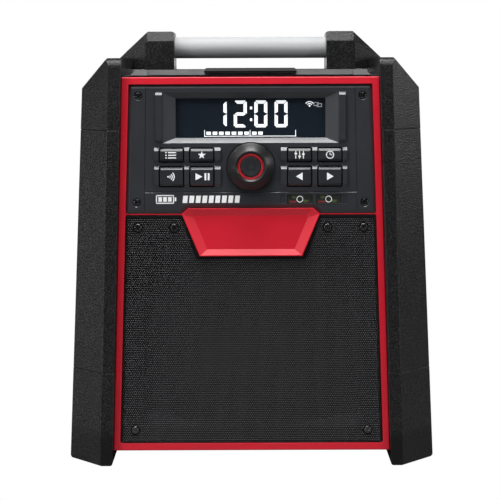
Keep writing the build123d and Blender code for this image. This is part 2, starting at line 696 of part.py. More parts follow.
def make_knob():
    """Section points are (radius, depth) from the face."""
    with BuildPart() as knob:
        with BuildSketch(KNOB_SECTION):
            with BuildLine():
                Polyline((HUB_RADIUS + RUNNING, -0.6), (KNOB_RADIUS - 0.8, -0.6),
                         (KNOB_RADIUS, 0.4), (KNOB_RADIUS, 3.2))
                ThreePointArc((KNOB_RADIUS, 3.2), (21.9, 4.4), (21.0, 5.4))
                ThreePointArc((21.0, 5.4), (18.2, 8.6), (14.9, 11.8))
                ThreePointArc((14.9, 11.8), (14.3, 12.2), (13.6, 12.0))
                Polyline((13.6, 12.0), (12.2, 10.6), (12.2, 9.6), (9.8, 9.6), (9.8, 6.9),
                         (HUB_RADIUS + RUNNING, 6.9), (HUB_RADIUS + RUNNING, -0.6))
            make_face()
        revolve(axis=KNOB_AXIS)
    save(knob.part, "volume_knob")
    with BuildPart() as ring:
        with BuildSketch(KNOB_SECTION):
            with BuildLine():
                Polyline((9.85, 9.65), (12.15, 9.65), (12.15, 10.5))
                ThreePointArc((12.15, 10.5), (11.0, 10.3), (9.85, 10.0))
                Line((9.85, 10.0), (9.85, 9.65))
            make_face()
        revolve(axis=KNOB_AXIS)
    save(ring.part, "knob_ring")
    with BuildPart() as button:
        with BuildSketch(KNOB_SECTION):
            Polygon((0, -11.0), (5.3, -11.0), (5.3, 8.2), (9.4, 8.2), (9.4, 10.3), (8.9, 10.8),
                    (8.2, 10.8), (5.5, 10.5), (0, 10.4), align=None)
        revolve(axis=KNOB_AXIS)
        with BuildSketch(KNOB_AXIS_PLANE.offset(12)):
            Circle(4.3)
            Circle(3.9, mode=Mode.SUBTRACT)
        extrude(amount=-2.0, mode=Mode.SUBTRACT)
    save(button.part, "power_button")
    with BuildPart() as encoder:
        with BuildSketch(KNOB_AXIS_PLANE.offset(BOARD_BACK + BOARD_THICK + SEAM)):
            Rectangle(24, 24)
        extrude(amount=-12 - BOARD_BACK - BOARD_THICK - SEAM)
        with BuildSketch(KNOB_AXIS_PLANE.offset(-12)):
            Circle(HUB_RADIUS)
            Circle(5.6, mode=Mode.SUBTRACT)
        extrude(amount=18.9)
    save(encoder.part, "rotary_encoder")


# ---- grille, baffle and loudspeakers ----
def grille_half(v):
    return opening_half(v) - 0.3


def field_plan(share):
    """Corners of the pressed field where its slopes have run the given share of their way."""
    side, low, high = FIELD_SLOPES
    return trapezoid(FIELD[0] + share * low, FIELD[1] - share * high,
                     lambda v: opening_half(v) - FIELD_MARGIN - share * side)


def pressed_slab(front):
    """A slab with its front at depth front, pressed in by a field that bows forward."""
    slab_back = GRILLE_FRONT - 8.0
    middle, sides = FIELD_SUNK
    reach = opening_half(FIELD[0]) - FIELD_MARGIN - FIELD_SLOPES[0]
    bow = (reach ** 2 + (sides - middle) ** 2) / (2 * (sides - middle))
    with BuildPart() as press:
        for share in (-0.1, 1.1):
            with BuildSketch(FACE.offset(front - share * sides)) as plan:
                Polygon(*field_plan(share), align=None)
                fillet(plan.vertices(), radius=12.0)
        loft()
        with BuildSketch(Plane(origin=FACE.from_local_coords(Vector(0, 0, front - middle - bow)),
                               x_dir=(1, 0, 0), z_dir=FACE.y_dir)):
            Circle(bow)
        extrude(amount=300, mode=Mode.SUBTRACT)
    with BuildPart() as slab:
        with BuildSketch(FACE.offset(slab_back)) as sheet:
            Polygon(*trapezoid(OPENING_LOW + 0.3, BAR_LOW - 0.3, grille_half), align=None)
            fillet(sheet.vertices(), radius=2.2)
        extrude(amount=front - slab_back)
        add(press.part, mode=Mode.SUBTRACT)
    return slab.part


def make_grille():
    back = GRILLE_FRONT - GRILLE_SHEET
    high = BAR_LOW - 0.3
    gap = 0.4
    with BuildPart() as grille:
        add(pressed_slab(GRILLE_FRONT))
        add(pressed_slab(back), mode=Mode.SUBTRACT)
        # dimples for the screws
        places = [(side * u, v) for u, v in GRILLE_SCREWS for side in (-1, 1)]
        with BuildSketch(FACE.offset(back - DIMPLE)):
            with Locations(*places):
                Circle(5.6)
        extrude(amount=DIMPLE + GRILLE_SHEET / 2)
        with BuildSketch(FACE.offset(GRILLE_FRONT - DIMPLE)):
            with Locations(*places):
                Circle(4.4)
        extrude(amount=DIMPLE + 1, mode=Mode.SUBTRACT)
        with BuildSketch(FACE.offset(back - 2)):
            with Locations(*places):
                Circle(1.8)
        extrude(amount=8, mode=Mode.SUBTRACT)
        # notch round the badge
        with BuildSketch(FACE.offset(back - 6)):
            Polygon(*symmetric([(BADGE_SHOULDER[0] + gap + 1, high + 3),
                                (BADGE_SHOULDER[0] + gap, BADGE_SHOULDER[1]),
                                (BADGE_FOOT[0] + gap, BADGE_FOOT[1] - gap)]), align=None)
        extrude(amount=14, mode=Mode.SUBTRACT)
    save(grille.part, "speaker_grille")


def make_baffle():
    back = BAFFLE_FRONT - BAFFLE_THICK
    with BuildPart() as baffle:
        with BuildSketch(FACE.offset(back)):
            Polygon(*trapezoid(16.2, 240.8, lambda v: room_half(v) - 2 * SEAM), align=None)
            with Locations(DRIVER, (-DRIVER[0], DRIVER[1])):
                Circle(DRIVER_HOLE, mode=Mode.SUBTRACT)
            with Locations((0, RADIATOR_HEIGHT)):
                SlotOverall(*RADIATOR_HOLE, mode=Mode.SUBTRACT)
        extrude(amount=BAFFLE_THICK)
        # standoffs under the grille screws, drilled
        with BuildSketch(FACE.offset(BAFFLE_FRONT)):
            for u, v in GRILLE_SCREWS:
                with Locations((u, v), (-u, v)):
                    Circle(3.6)
        extrude(amount=GRILLE_FRONT - GRILLE_SHEET - DIMPLE - SEAM - BAFFLE_FRONT)
        with BuildSketch(FACE.offset(back)):
            for u, v in GRILLE_SCREWS:
                with Locations((u, v), (-u, v)):
                    Circle(1.65)
        extrude(amount=20, mode=Mode.SUBTRACT)
    save(baffle.part, "speaker_baffle")


def revolved(side, profile):
    """A driver's ring solid on one side, from a profile of (radius, depth) points."""
    origin = FACE.from_local_coords(Vector(side * DRIVER[0], DRIVER[1], 0))
    with BuildPart() as ring:
        with BuildSketch(Plane(origin=origin, x_dir=(1, 0, 0), z_dir=-FACE.y_dir)):
            Polygon(*profile, align=None)
        revolve(axis=Axis(origin=origin, direction=FACE.z_dir))
    return ring.part


def save_drivers(name, profile):
    """One node with the same ring in both drivers."""
    with BuildPart() as both:
        for side in (-1, 1):
            add(revolved(side, profile))
    save(both.part, name)


def make_drivers():
    """Two drivers: frame, magnet and surround are fixed, cone and coil move."""
    rim = BAFFLE_FRONT + SEAM
    save_drivers("speaker_frames", [
        (52, rim), (52, rim + 2.4), (42.8, rim + 2.4), (42.8, rim - 1), (26, -42), (26, -47.9),
        (14, -47.9), (14, -50), (28, -50), (28, -42.5), (44.8, rim - 1.5), (44.8, rim)])
    save_drivers("speaker_magnets", [
        (0, -50.1), (10.6, -50.1), (10.6, -62), (13.6, -62), (13.6, -50.1), (35, -50.1),
        (35, -68), (0, -68)])
    roll = [(37.6 + 3.8 * cos(radians(a)), -8.6 + 2.4 * sin(radians(a))) for a in range(0, 181, 20)]
    inner_roll = [(37.6 + 2.8 * cos(radians(a)), -9.6 + 2.2 * sin(radians(a)))
                  for a in range(180, -1, -20)]
    save_drivers("speaker_surrounds", [(42.7, -9.6), (42.7, -8.6)] + roll
                 + [(33.5, -8.6), (33.5, -9.6)] + inner_roll)
    cone = [(0, -20.6), (5, -21.4), (9, -23.6), (12.4, -27.0), (31.6, -8.8), (33.1, -8.8),
            (33.1, -10.0), (12.8, -29.4), (12.8, -56), (11.4, -56), (11.4, -28.6), (8.4, -25.0),
            (4.8, -22.8), (0, -22.0)]
    for name, side in (("left", -1), ("right", 1)):
        save(revolved(side, cone), f"{name}_speaker_cone")


def slot_ring(depth, outer, inner, thick):
    """A flat racetrack ring on the baffle."""
    with BuildPart() as ring:
        with BuildSketch(FACE.offset(depth)):
            with Locations((0, RADIATOR_HEIGHT)):
                SlotOverall(*outer)
                SlotOverall(*inner, mode=Mode.SUBTRACT)
        extrude(amount=thick)
    return ring.part


def make_radiator():
    width, tall = RADIATOR_HOLE
    rim = BAFFLE_FRONT + SEAM
    with BuildPart() as surround:
        add(slot_ring(rim, (width + 12, tall + 8), (width - 14, tall - 14), 1.2))
        add(slot_ring(rim + 1.2, (width - 3, tall - 3), (width - 11, tall - 11), 1.4))
    save(surround.part, "radiator_surround")
    with BuildPart() as plate:
        with BuildSketch(FACE.offset(rim)):
            with Locations((0, RADIATOR_HEIGHT)):
                SlotOverall(width - 14.6, tall - 14.6)
        extrude(amount=1.6)
        with BuildSketch(FACE.offset(rim)):
            with Locations((0, RADIATOR_HEIGHT)):
                SlotOverall(70, 16)
        extrude(amount=-6)
    save(plate.part, "bass_radiator")


# ---- side guards ----
def guard_piece(low, high, cavity_low, cavity_high):
    """A hollow stretch of the right guard, its long edges softened."""
    with BuildPart() as piece:
        add(tapered_block(guard_outline, low, high))
        upright = piece.edges().filter_by(lambda e: abs(e.tangent_at(0.5).Z) > 0.9)
        fillet(upright, radius=1.6)
        add(tapered_block(guard_outline, cavity_low, cavity_high, GUARD_WALL), mode=Mode.SUBTRACT)
    return piece.part


def seam_edges(part, z):
    """Outer edges of the end face at height z."""
    end = part.faces().filter_by(Axis.Z).sort_by(lambda f: abs(f.center().Z - z))[0]
    return end.outer_wire().edges()


def make_guards():
    with BuildPart() as middle:
        add(guard_piece(SEAM_LOW + SEAM, SEAM_HIGH - SEAM, SEAM_LOW - 5, SEAM_HIGH + 5))
        fillet(seam_edges(middle, SEAM_LOW + SEAM), radius=0.5)
        fillet(seam_edges(middle, SEAM_HIGH - SEAM), radius=0.5)
    save_pair(middle.part, "side_guard")

    bevel_low = guard_outer(GUARD_BEVEL_LOW), GUARD_BEVEL_LOW
    bevel_high = GUARD_TOP_HALF, GUARD_TOP
    run = bevel_low[0] - bevel_high[0]
    rise = bevel_high[1] - bevel_low[1]
    slope = Vector(rise, 0, run).normalized()
    with BuildPart() as cavity:
        add(tapered_block(guard_outline, SEAM_HIGH - 5, GUARD_TOP - GUARD_WALL, GUARD_WALL))
        inside = Vector(bevel_low[0], 0, bevel_low[1]) - slope * GUARD_WALL
        split(bisect_by=Plane(origin=inside, z_dir=slope), keep=Keep.BOTTOM)
    with BuildPart() as cap:
        add(tapered_block(guard_outline, SEAM_HIGH + SEAM, GUARD_TOP))
        split(bisect_by=Plane(origin=(bevel_low[0], 0, bevel_low[1]), z_dir=slope),
              keep=Keep.BOTTOM)
        crown = cap.edges().filter_by(Axis.X).group_by(Axis.Z)[-1]
        fillet(crown, radius=9.0)
        add(cavity.part, mode=Mode.SUBTRACT)
        fillet(seam_edges(cap, SEAM_HIGH + SEAM), radius=0.5)
    save_pair(cap.part, "guard_cap")

    with BuildPart() as foot:
        add(tapered_block(guard_outline, FLOOR + PAD_DROP, SEAM_LOW - SEAM))
        base = foot.faces().sort_by(Axis.Z)[0]
        fillet(base.outer_wire().edges(), radius=FOOT_ROUND)
        add(tapered_block(guard_outline, FLOOR + PAD_DROP + 6, SEAM_LOW + 5, GUARD_WALL),
            mode=Mode.SUBTRACT)
        fillet(seam_edges(foot, SEAM_LOW - SEAM), radius=0.5)
        for y in PAD_PLACES:
            with BuildSketch(Plane.XY.offset(FLOOR)):
                with Locations((PAD_X, y)):
                    SlotOverall(PAD_SIZE[0], PAD_SIZE[1], rotation=90)
            extrude(amount=PAD_DROP + 3, mode=Mode.SUBTRACT)
    save_pair(foot.part, "foot_cap")

    with BuildPart() as pads:
        for side in (-1, 1):
            for y in PAD_PLACES:
                with BuildSketch(Plane.XY.offset(FLOOR)):
                    with Locations((side * PAD_X, y)):
                        SlotOverall(PAD_SIZE[0] - 2 * SEAM, PAD_SIZE[1] - 2 * SEAM, rotation=90)
                extrude(amount=PAD_DROP + 3 - SEAM)
    save(pads.part, "foot_pads")


# ---- handle ----
def arm_outline():
    """Front view of the right arm, from its inner foot over the top to the outer foot."""
    cap = GUARD_TOP + SEAM
    inner_wall = guard_inner(GUARD_TOP) - 0.4
    deck = DECK_TOP + SEAM
    return [(ARM_INNER, deck), (ARM_INNER, ARM_TOP), (ARM_SHOULDER, ARM_TOP), (ARM_OUTER, cap),
            (inner_wall, cap), (inner_wall, deck)]


def make_handle():
    front = HANDLE_Y - ARM_DEPTH / 2
    slope = Vector(ARM_TOP - GUARD_TOP, 0, ARM_OUTER - ARM_SHOULDER).normalized()
    with BuildPart() as arm:
        with BuildSketch(Plane.XZ.offset(-front)) as outline:
            Polygon(*arm_outline(), align=None)
            inner_top = outline.vertices().sort_by(Axis.Y)[-2:].sort_by(Axis.X)[0]
            fillet(inner_top, radius=3.0)
        extrude(amount=-ARM_DEPTH)
        for end in (-1, 1):
            face_y = HANDLE_Y + end * ARM_DEPTH / 2
            # bevel along the flat top, bevel along the slope, and the turned corner
            split(bisect_by=Plane(origin=(ARM_SHOULDER, face_y, ARM_TOP - ARM_BEVEL),
                                  z_dir=Vector(0, end, 1)), keep=Keep.BOTTOM)
            split(bisect_by=Plane(origin=(ARM_SHOULDER, face_y, ARM_TOP - ARM_BEVEL),
                                  z_dir=slope + Vector(0, end * 0.84, 0)), keep=Keep.BOTTOM)
            split(bisect_by=Plane(origin=(ARM_SHOULDER + 2, face_y, ARM_TOP),
                                  z_dir=Vector(0.45, end, 0)), keep=Keep.BOTTOM)
        with BuildSketch(Plane.YZ.offset(ARM_INNER)):
            with Locations((HANDLE_Y, HANDLE_Z)):
                Circle(TUBE_RADIUS + RUNNING)
        extrude(amount=14, mode=Mode.SUBTRACT)
        with BuildSketch(Plane.XY.offset(DECK_TOP)):
            with Locations(*[at for at in HANDLE_SCREWS if at[0] > 0]):
                Circle(2.6)
        extrude(amount=9, mode=Mode.SUBTRACT)
    save_pair(arm.part, "handle_arm")

    with BuildPart() as tube:
        with BuildSketch(Plane.YZ):
            with Locations((HANDLE_Y, HANDLE_Z)):
                Circle(TUBE_RADIUS)
                Circle(TUBE_BORE, mode=Mode.SUBTRACT)
        extrude(amount=ARM_INNER + 13.5, both=True)
    save(tube.part, "handle_tube")

    with BuildPart() as screws:
        head = CABINET_TOP - WALL - SEAM
        with BuildSketch(Plane.XY.offset(head)):
            with Locations(*HANDLE_SCREWS):
                RegularPolygon(4.6, 6)
        extrude(amount=-3.5)
        with BuildSketch(Plane.XY.offset(head)):
            with Locations(*HANDLE_SCREWS):
                Circle(2.5)
        extrude(amount=16)
    save(screws.part, "handle_screws")


# ---- storage lid, latch and tub ----
def make_lid():
    rear = HINGE[0]
    with BuildPart() as lid:
        add(deck_block(LID_LOW))
        split(bisect_by=Plane(origin=(LID_HALF, 0, 0), z_dir=(1, 0, 0)), keep=Keep.BOTTOM)
        split(bisect_by=Plane(origin=(-LID_HALF, 0, 0), z_dir=(-1, 0, 0)), keep=Keep.BOTTOM)
        split(bisect_by=Plane(origin=(0, rear, 0), z_dir=(0, 1, 0)), keep=Keep.BOTTOM)
        with BuildSketch(Plane.YZ):
            with Locations(HINGE):
                Circle(HINGE_BARREL)
        extrude(amount=LID_HALF - 4, both=True)
        # clearance round the housing's lugs
        for low, high in HINGE_LUGS:
            for side in (-1, 1):
                with BuildSketch(Plane.XY.offset(LID_LOW - 2)):
                    with Locations((side * (low + high) / 2, rear)):
                        Rectangle(high - low + 2 * GAP, 2 * (HINGE_BARREL + GAP))
                extrude(amount=10, mode=Mode.SUBTRACT)
        # corners beside the barrel's ends
        for side in (-1, 1):
            with BuildSketch(Plane.XY.offset(LID_LOW - 2)):
                with Locations((side * (LID_HALF - 1), rear)):
                    Rectangle(6, 2 * (HINGE_BARREL + GAP))
            extrude(amount=10, mode=Mode.SUBTRACT)
        # bore for the hinge pins
        with BuildSketch(Plane.YZ):
            with Locations(HINGE):
                Circle(HINGE_PIN)
        extrude(amount=LID_HALF, both=True, mode=Mode.SUBTRACT)
        # bay for the latch, open to the front
        with BuildSketch(Plane.XY.offset(LID_LOW + 1.6)):
            Polygon((-LATCH_HALF - GAP, -130), (LATCH_HALF + GAP, -130),
                    (LATCH_HALF + GAP, -97), (-LATCH_HALF - GAP, -97), align=None)
        extrude(amount=10, mode=Mode.SUBTRACT)
        with BuildSketch(Plane.YZ):
            with Locations(LATCH_PIN_AT):
                Circle(LATCH_PIN)
        extrude(amount=LATCH_HALF + 3.6, both=True, mode=Mode.SUBTRACT)
        # groove for the gasket
        with BuildSketch(Plane.XY.offset(LID_LOW)):
            gasket_ring(SEAM)
        extrude(amount=1.2, mode=Mode.SUBTRACT)
    save(lid.part, "storage_lid")

    with BuildPart() as gasket:
        with BuildSketch(Plane.XY.offset(LID_LOW)):
            gasket_ring(0)
        extrude(amount=1.2 - SEAM)
    save(gasket.part, "lid_gasket")

    with BuildPart() as pins:
        for low, high in HINGE_LUGS:
            for side in (-1, 1):
                with BuildSketch(Plane.YZ.offset(side * (low + high) / 2)):
                    with Locations(HINGE):
                        Circle(HINGE_PIN)
                extrude(amount=11, both=True)
        with BuildSketch(Plane.YZ):
            with Locations(LATCH_PIN_AT):
                Circle(LATCH_PIN)
        extrude(amount=LATCH_HALF + 3.6, both=True)
    save(pins.part, "lid_pins")


def gasket_ring(grow):
    """Sketch of the gasket's track round the mouth of the tub."""
    middle = sum(TUB_Y) / 2
    depth = TUB_Y[1] - TUB_Y[0]
    with Locations((0, middle)):
        RectangleRounded(2 * TUB_X + 6 + 2 * grow, depth + 6 + 2 * grow, 5)
        RectangleRounded(2 * TUB_X + 2 - 2 * grow, depth + 2 - 2 * grow, 3, mode=Mode.SUBTRACT)


def make_latch():
    y, z = LATCH_PIN_AT
    with BuildPart() as latch:
        with BuildSketch(Plane.YZ):
            with BuildLine():
                Polyline((y, z - 2.1), (-120.6, z - 2.1), (-121.2, z - 0.4), (-119.6, z + 2.0),
                         (-117.8, z + 2.4), (y, z + 2.1))
                ThreePointArc((y, z + 2.1), (y + 2.1, z), (y, z - 2.1))
            make_face()
        extrude(amount=LATCH_HALF, both=True)
        ends = latch.faces().filter_by(Axis.X)
        chamfer(ends.edges().filter_by(lambda e: e.center().Z > z + 1.5), 1.5)
        with BuildSketch(Plane.YZ):
            with Locations(LATCH_PIN_AT):
                Circle(LATCH_PIN + RUNNING)
        extrude(amount=LATCH_HALF + 1, both=True, mode=Mode.SUBTRACT)
    save(latch.part, "lid_latch")


def make_tub():
    middle = sum(TUB_Y) / 2
    depth = TUB_Y[1] - TUB_Y[0]
    wall = 2.0
    with BuildPart() as tub:
        with BuildSketch(Plane.XY.offset(TUB_FLOOR)):
            with Locations((0, middle)):
                RectangleRounded(2 * TUB_X, depth, 5)
        extrude(amount=CABINET_TOP - TUB_FLOOR - SEAM)
        with BuildSketch(Plane.XY.offset(CABINET_TOP - WALL - 2.2)):
            with Locations((0, middle)):
                Rectangle(2 * TUB_X + 10, depth + 6)
        extrude(amount=2.0)
        with BuildSketch(Plane.XY.offset(TUB_FLOOR + wall)):
            with Locations((0, middle)):
                RectangleRounded(2 * (TUB_X - wall), depth - 2 * wall, 3.5)
        extrude(amount=100, mode=Mode.SUBTRACT)
        with BuildSketch(Plane.XZ.offset(-TUB_Y[1] - 5)):
            with Locations(AUX_AT):
                Circle(4.0)
            with Locations(USB_AT):
                Rectangle(16.2, 8.2)
        extrude(amount=10, mode=Mode.SUBTRACT)
    save(tub.part, "storage_tub")

    with BuildPart() as jack:
        with BuildSketch(Plane.XZ.offset(-TUB_Y[1] + wall)):
            with Locations(AUX_AT):
                Circle(3.9)
                Circle(1.8, mode=Mode.SUBTRACT)
        extrude(amount=-14)
        with BuildSketch(Plane.XZ.offset(-TUB_Y[1] - SEAM)):
            with Locations(AUX_AT):
                Rectangle(12, 12)
                Circle(1.8, mode=Mode.SUBTRACT)
        extrude(amount=-12)
    save(jack.part, "aux_jack")

    with BuildPart() as port:
        with BuildSketch(Plane.XZ.offset(-TUB_Y[1] + wall)):
            with Locations(USB_AT):
                Rectangle(16.0, 8.0)
                Rectangle(12.4, 4.6, mode=Mode.SUBTRACT)
        extrude(amount=-14)
        with BuildSketch(Plane.XZ.offset(-TUB_Y[1] + wall - 13)):
            with Locations(USB_AT):
                Rectangle(16.0, 8.0)
        extrude(amount=-2)
        with BuildSketch(Plane.XZ.offset(-TUB_Y[1] + wall - 2)):
            with Locations((USB_AT[0], USB_AT[1] + 1.0)):
                Rectangle(11.0, 1.6)
        extrude(amount=-12)
    save(port.part, "usb_port")


# ---- rear: battery bay, cord gland ----
def make_battery_bay():
    low, high = BAY_HEIGHTS
    middle = (low + high) / 2
    tall = high - low
    front = REAR_WALL - WALL - SEAM
    with BuildPart() as bay:
        with BuildSketch(REAR.offset(front)):
            with Locations((0, middle)):
                Rectangle(2 * BAY_HALF + 12, tall + 12)
        extrude(amount=-2.5)
        with BuildSketch(REAR.offset(front - 2)):
            with Locations((0, middle)):
                RectangleRounded(2 * BAY_HALF + 5, tall + 5, 7)
        extrude(amount=-BAY_DEPTH + 2)
        with BuildSketch(REAR.offset(front + 1)):
            with Locations((0, middle)):
                RectangleRounded(2 * BAY_HALF, tall, 5)
        extrude(amount=-BAY_DEPTH - 1 + 2.5, mode=Mode.SUBTRACT)
        # two hooked rails that the battery slides down on
        floor = front - BAY_DEPTH + 2.5
        for side in (-1, 1):
            with BuildSketch(REAR.offset(floor)):
                with Locations((side * 33, middle - 6)):
                    Rectangle(5, 88)
            extrude(amount=9)
            with BuildSketch(REAR.offset(floor + 9)):
                with Locations((side * 35.5, middle - 6)):
                    Rectangle(10, 88)
            extrude(amount=4)
    save(bay.part, "battery_bay")

    with BuildPart() as block:
        with BuildSketch(REAR.offset(floor + SEAM)):
            with Locations((0, low + 22)):
                Rectangle(44, 16)
        extrude(amount=14)
    save(block.part, "terminal_block")
    with BuildPart() as blades:
        for u in (-16, -8, 0, 8, 16):
            with BuildSketch(REAR.offset(floor + 5)):
                with Locations((u, low + 30 + SEAM + 9)):
                    Rectangle(1.0, 18)
            extrude(amount=6)
    save(blades.part, "battery_terminals")


def make_cord_gland():
    floor = REAR_WALL - CORD_RECESS_DEPTH
    with BuildPart() as gland:
        with BuildSketch(REAR.offset(floor - WALL - 3)):
            with Locations(GLAND):
                Circle(6.0)
        extrude(amount=WALL + 3)
        with BuildSketch(REAR.offset(floor + SEAM)):
            with Locations(GLAND):
                Circle(9.0)
        extrude(amount=3)
        with BuildSketch(REAR.offset(floor)):
            with Locations(GLAND):
                Circle(6.0)
        extrude(amount=16, taper=6)
        with BuildSketch(REAR.offset(floor - 10)):
            with Locations(GLAND):
                Circle(GLAND_BORE)
        extrude(amount=40, mode=Mode.SUBTRACT)
    save(gland.part, "cord_gland")


# ---- electronics on the floor and under the top ----
def floor_board(name, side, blocks, cans):
    """A board on the posts, with blocks of (x, y, width, depth, height) and round cans on it."""
    base = 26.0 + SEAM
    with BuildPart() as board:
        with BuildSketch(Plane.XY.offset(base)):
            with Locations((side * 63, 30)):
                Rectangle(110, 60)
        extrude(amount=1.6)
        for x, y, width, depth, height in blocks:
            with BuildSketch(Plane.XY.offset(base + 1.6)):
                with Locations((side * x, y)):
                    Rectangle(width, depth)
            extrude(amount=height)
        for x, y in cans:
            with BuildSketch(Plane.XY.offset(base + 1.6)):
                with Locations((side * x, y)):
                    Circle(9)
            extrude(amount=30)
    save(board.part, name)


def make_electronics():
    floor_board("power_supply_board", -1, [(100, 14, 16, 12, 10), (100, 44, 18, 18, 12)],
                [(22, 16), (22, 42)])
    floor_board("amplifier_board", 1, [(100, 14, 18, 12, 8), (98, 44, 16, 16, 2)], [])
    deck = 26.0 + SEAM + 1.6 + SEAM
    with BuildPart() as transformer:
        with BuildSketch(Plane.XY.offset(deck)):
            with Locations((-60, 28)):
                Rectangle(40, 34)
        extrude(amount=6)
        with BuildSketch(Plane.XY.offset(deck + 6)):
            with Locations((-60, 28)):
                Rectangle(34, 34)
        extrude(amount=20)
        with BuildSketch(Plane.XY.offset(deck + 6)):
            with Locations((-60, 28)):
                Rectangle(46, 18)
        extrude(amount=18)
    save(transformer.part, "transformer")
    with BuildPart() as sink:
        with BuildSketch(Plane.XY.offset(deck)):
            with Locations((52, 28)):
                Rectangle(60, 4)
            with Locations(*[(52 + 6.5 * i, 38) for i in range(-4, 5)]):
                Rectangle(2, 18)
        extrude(amount=34)
    save(sink.part, "heat_sink")
    top = CABINET_TOP - WALL - SEAM
    with BuildPart() as antenna:
        for x in (-45, 45):
            with BuildSketch(Plane.YZ.offset(x - 4)):
                with Locations((84, top - 9)):
                    Rectangle(16, 18)
            extrude(amount=8)
        with BuildSketch(Plane.YZ):
            with Locations((84, top - 11)):
                Circle(5)
        extrude(amount=60, both=True)
    save(antenna.part, "ferrite_antenna")


# ---- build everything ----
make_front_housing()
make_rear_housing()
make_housing_screws()
make_front_bezel()
make_control_panel()
make_front_screws()
make_display()
for row, names in enumerate((("mode", "preset", "tone", "clock"),
                             ("pair", "play", "previous", "next"))):
    for column, button_name in zip(BUTTON_COLUMNS, names):
        make_button(button_name, column, row)
make_control_board()
make_charge_lenses()
make_knob()
make_grille()
make_baffle()
make_drivers()
make_radiator()
make_guards()
make_handle()
make_lid()
make_latch()
make_tub()
make_battery_bay()
make_cord_gland()
make_electronics()
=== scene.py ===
"""Dressed jobsite radio: finishes, perforated grille, display, icons, light and camera."""

import json
import math

import bpy
from mathutils import Matrix, Vector


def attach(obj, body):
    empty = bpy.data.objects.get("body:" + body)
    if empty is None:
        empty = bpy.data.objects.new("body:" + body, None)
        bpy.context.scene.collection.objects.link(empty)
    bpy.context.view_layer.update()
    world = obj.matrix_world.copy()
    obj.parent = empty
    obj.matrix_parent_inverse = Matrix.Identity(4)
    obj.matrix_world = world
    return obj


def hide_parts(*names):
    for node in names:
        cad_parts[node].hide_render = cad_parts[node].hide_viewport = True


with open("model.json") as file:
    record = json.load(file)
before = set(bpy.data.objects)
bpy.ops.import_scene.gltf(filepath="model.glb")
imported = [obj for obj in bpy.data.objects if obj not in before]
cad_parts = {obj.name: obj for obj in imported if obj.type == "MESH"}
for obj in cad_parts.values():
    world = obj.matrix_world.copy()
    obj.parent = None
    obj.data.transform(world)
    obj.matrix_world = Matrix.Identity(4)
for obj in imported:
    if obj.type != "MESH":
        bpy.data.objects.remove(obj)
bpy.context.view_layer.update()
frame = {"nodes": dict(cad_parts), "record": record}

# A place on the front face is given in millimetres: u to the right, v up the face from DATUM
# above the floor, and w out of it. The face leans back, and starts FACE_Y before the middle.
LEAN = math.radians(3.0)
FACE_Y = 142.0
DATUM = 3.0

OPENING_HALF = 125.3  # half the width of the bezel's opening at v = 0
OPENING_TAPER = 0.0326  # how much of it each millimetre of height takes away

# one screw of each mirrored pair
PANEL_SCREWS = ((104.7, 346.5), (106.9, 246.8))
GRILLE_SCREWS = ((106.1, 223.3), (72.1, 223.2), (110.4, 30.8))


def on_face(u, v, w=0.0):
    """A place on the leaning front face, in metres."""
    return Vector((u, -FACE_Y + v * math.sin(LEAN) - w * math.cos(LEAN),
                   DATUM + v * math.cos(LEAN) + w * math.sin(LEAN))) / 1000


def opening_half(v):
    return OPENING_HALF - OPENING_TAPER * v


# ---- material building blocks ----
BEVEL_SAMPLES = 4
COLOUR_A, COLOUR_B, COLOUR_RESULT = 6, 7, 2  # a mix node's sockets for colours
SMOOTH_BAND = (0.028, 0.036)  # heights in metres where the smooth feet turn pebbled


